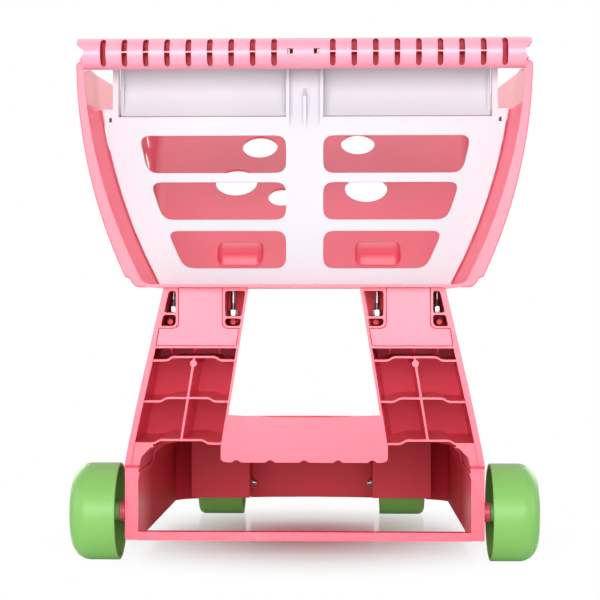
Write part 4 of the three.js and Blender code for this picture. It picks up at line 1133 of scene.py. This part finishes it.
def front_wheel(node, side):
    """A hollow roller with a hub."""
    radius, width = FRONT_WHEEL["radius"], FRONT_WHEEL["width"]
    wall, edge = 3, 7
    bore, hub = 3.4, 8
    bend = (radius - edge, width - edge)
    outer = arc(bend, (edge, edge), 1, 0, 8)
    inner = arc(bend, (edge - wall, edge - wall), 0, 1, 6)
    profile = [
        (radius - wall, 0.5), (radius - 2.4, 0), (radius - 0.8, 0), (radius, 0.8), *outer,
        (hub, width - 0.6), (bore, width - 0.6), (bore, 0.6), (hub, 0.6), (hub, width - 3.4),
        *inner,
    ]
    centre = (FRONT_WHEEL["y"], radius)
    wheel = turned(node + "_fine", profile, side, FRONT_WHEEL["inner_x"], centre, 112)
    return stand_for(wheel, node)


def hub_cap(side_name, side):
    """A shallow dome that closes the rear wheel's seat."""
    inner_x = REAR_WHEEL["inner_x"] + REAR_WHEEL["width"] - 2.5
    centre = (REAR_WHEEL["y"], REAR_WHEEL["radius"])
    dome = arc((6, 2.5), (7, 2.1), 1, 0, 8)
    profile = [
        (0.01, 0), (11, 0), (11, -1.5), (12.6, -1.5), (13, -1.1), *dome, (0.01, 4.6),
    ]
    cap = turned(f"hub_cap_{side_name}_fine", profile, side, inner_x, centre, 72)
    return stand_for(cap, f"rear_hub_cap_{side_name}")


def axle(node, side, sizes, wheel):
    """A turned axle through a wheel, with a chamfered end and a domed head."""
    radius = sizes["radius"]
    inner_x, head_x = sizes["span"]
    head_radius, thickness = sizes["head"]
    length = head_x - inner_x
    profile = [
        (0.01, 0), (radius - 0.6, 0), (radius, 0.6), (radius, length), (head_radius, length),
        (head_radius, length + thickness * 0.5), (head_radius * 0.7, length + thickness),
        (0.01, length + thickness),
    ]
    centre = (wheel["y"], wheel["radius"])
    return stand_for(turned(node + "_fine", profile, side, inner_x, centre, 40), node)


def bolt(node, side, x, shelf_z):
    """A bolt with a domed head and a threaded lower length."""
    head_z = BASKET_FLOOR_Z + FIT_GAP
    low_z = shelf_z + 2
    profile = [(0.01, low_z), (1.9, low_z)]
    for turn in range(THREAD_TURNS):
        z = low_z + 0.4 + turn * THREAD_PITCH
        profile += [(2.1, z), (BOLT_RADIUS, z + THREAD_PITCH / 2)]
    profile += [
        (BOLT_RADIUS, head_z), (5, head_z), (5, head_z + 1.2), (4.4, head_z + 2.3),
        (3, head_z + 3), (0.01, head_z + 3),
    ]
    turned_bolt = upright_turned(node + "_fine", profile, (side * x, BOLT_Y))
    return stand_for(turned_bolt, node, 50)


def nut(node, side, x, shelf_z):
    """A six-sided nut with rounded corners and a bore."""
    centre = (side * x, BOLT_Y)
    low_z = shelf_z + FIT_GAP
    top_z = low_z + NUT_HEIGHT
    body = rod(node + "_fine", "z", NUT_RADIUS, (low_z, top_z), centre, 6)
    rounding = upright_turned(
        "nut_rounding",
        [(0.01, low_z), (3.8, low_z), (4.5, low_z + 0.6), (4.5, top_z - 0.6), (3.8, top_z),
         (0.01, top_z)],
        centre,
        48,
    )
    combine(body, [rounding], "INTERSECT")
    cut(body, [rod("nut_bore", "z", NUT_BORE_RADIUS, (low_z - 3, top_z + 3), centre, 32)])
    return stand_for(body, node)


# Operators


class CART_OT_finishes(bpy.types.Operator):
    """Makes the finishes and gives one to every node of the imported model"""

    bl_idname = "cart.finishes"
    bl_label = "Finishes"

    def execute(self, context):
        make_finishes(context.scene.cart_colours)
        for node, obj in frame["nodes"].items():
            paint(obj, slot_of(node))
        return {"FINISHED"}


class CART_OT_basket(bpy.types.Operator):
    """Builds the basket with smooth walls, round holes and soft blisters"""

    bl_idname = "cart.basket"
    bl_label = "Basket"

    def execute(self, context):
        basket()
        return {"FINISHED"}


class CART_OT_push_bar(bpy.types.Operator):
    """Builds the push bar with its slots and thin webs"""

    bl_idname = "cart.push_bar"
    bl_label = "Push bar"

    def execute(self, context):
        push_bar(context.scene.cart_sizes.edge_radius)
        return {"FINISHED"}


class CART_OT_wheels(bpy.types.Operator):
    """Builds the four wheels and the two hub caps"""

    bl_idname = "cart.wheels"
    bl_label = "Wheels"

    def execute(self, context):
        for name, side in SIDES:
            rear_wheel(f"rear_wheel_{name}", side)
            front_wheel(f"front_wheel_{name}", side)
            hub_cap(name, side)
        return {"FINISHED"}


class CART_OT_hardware(bpy.types.Operator):
    """Builds the axles, bolts and nuts"""

    bl_idname = "cart.hardware"
    bl_label = "Hardware"

    def execute(self, context):
        for name, side in SIDES:
            axle(f"rear_axle_{name}", side, REAR_AXLE, REAR_WHEEL)
            axle(f"front_axle_{name}", side, FRONT_AXLE, FRONT_WHEEL)
            for place, x, shelf_z in BOLTS:
                bolt(f"basket_bolt_{name}_{place}", side, x, shelf_z)
                nut(f"basket_nut_{name}_{place}", side, x, shelf_z)
        return {"FINISHED"}


class CART_OT_mouldings(bpy.types.Operator):
    """Rounds the edges of the base, the gate, the flap and the lock plates"""

    bl_idname = "cart.mouldings"
    bl_label = "Mouldings"

    def execute(self, context):
        radius = context.scene.cart_sizes.edge_radius
        # The base's pink has painted shade in its hollows, and the lock plates a paler pink for
        # painted sheen
        refined("base_frame", "base_frame_moulding", radius, "hollow_pink")
        for node in ("rear_gate", "seat_flap"):
            refined(node, node + "_moulding", radius)
        for side, _ in SIDES:
            name = f"lock_plate_{side}_moulding"
            refined("leg_lock_plate_" + side, name, radius / 2, "plate_pink")
        return {"FINISHED"}


class CART_OT_stage(bpy.types.Operator):
    """Adds the floor, the lamps, the world and the camera"""

    bl_idname = "cart.stage"
    bl_label = "Stage"

    def execute(self, context):
        stage = context.scene.cart_stage
        self.floor(context)
        self.camera(context, stage)
        self.world(context, stage)
        self.lamps(context)
        context.scene.view_settings.view_transform = "Standard"
        return {"FINISHED"}

    def floor(self, context):
        mesh = bpy.data.meshes.new("studio_floor")
        corners = [
            (x * FLOOR_REACH, y * FLOOR_REACH, 0) for x, y in ((-1, -1), (1, -1), (1, 1), (-1, 1))
        ]
        mesh.from_pydata(corners, [], [(0, 1, 2, 3)])
        floor = bpy.data.objects.new("studio_floor", mesh)
        context.scene.collection.objects.link(floor)
        mesh.materials.append(white_floor(context.scene.cart_colours.floor))

    def camera(self, context, stage):
        data = bpy.data.cameras.new("Photo camera")
        data.lens = stage.lens
        data.sensor_width = SENSOR_WIDTH
        camera = bpy.data.objects.new("Photo camera", data)
        camera.location = stage.camera_place
        camera.rotation_euler = stage.camera_turn
        context.scene.collection.objects.link(camera)
        context.scene.camera = camera

    def world(self, context, stage):
        """Even light from all round, which the camera and reflections see as white."""
        sky = Finish(bpy.data.worlds.new("Studio"))
        seen = sky.maths(
            "MAXIMUM",
            sky.add("ShaderNodeLightPath", output="Is Camera Ray"),
            sky.add("ShaderNodeLightPath", output="Is Glossy Ray"),
        )
        light, white = (
            sky.add("ShaderNodeBackground", None, {"Color": (1, 1, 1, 1), "Strength": strength})
            for strength in (stage.world_level, 1)
        )
        mixed = sky.add("ShaderNodeMixShader", None, {0: seen, 1: light, 2: white})
        sky.add("ShaderNodeOutputWorld", None, {"Surface": mixed})
        context.scene.world = sky.owner

    def lamps(self, context):
        for name, place, size, power in LAMPS:
            data = bpy.data.lights.new(name, "AREA")
            data.shape = "RECTANGLE"
            data.size, data.size_y = size
            data.energy = power
            lamp = bpy.data.objects.new(name, data)
            lamp.location = place
            aim = Vector(LAMP_AIM) - Vector(place)
            lamp.rotation_euler = aim.to_track_quat("-Z", "Y").to_euler()
            context.scene.collection.objects.link(lamp)


class CART_PT_looks(bpy.types.Panel):
    """The cart's steps, in order"""

    bl_label = "Shopping cart"
    bl_space_type = "VIEW_3D"
    bl_region_type = "UI"
    bl_category = "Cart"

    def draw(self, context):
        scene = context.scene
        for group in (scene.cart_colours, scene.cart_sizes, scene.cart_stage):
            box = self.layout.box()
            for name in group.__annotations__:
                box.prop(group, name)
        for step in STEPS:
            self.layout.operator(step.bl_idname)


STEPS = (
    CART_OT_finishes,
    CART_OT_basket,
    CART_OT_push_bar,
    CART_OT_mouldings,
    CART_OT_wheels,
    CART_OT_hardware,
    CART_OT_stage,
)
CLASSES = (CartColours, CartSizes, CartStage, *STEPS, CART_PT_looks)


def register():
    for entry in CLASSES:
        bpy.utils.register_class(entry)
    bpy.types.Scene.cart_colours = bpy.props.PointerProperty(type=CartColours)
    bpy.types.Scene.cart_sizes = bpy.props.PointerProperty(type=CartSizes)
    bpy.types.Scene.cart_stage = bpy.props.PointerProperty(type=CartStage)


def unregister():
    del bpy.types.Scene.cart_stage
    del bpy.types.Scene.cart_sizes
    del bpy.types.Scene.cart_colours
    for entry in reversed(CLASSES):
        bpy.utils.unregister_class(entry)


def main():
    register()
    for step in STEPS:
        group, name = step.bl_idname.split(".")
        getattr(getattr(bpy.ops, group), name)()


if __name__ == "__main__":
    main()
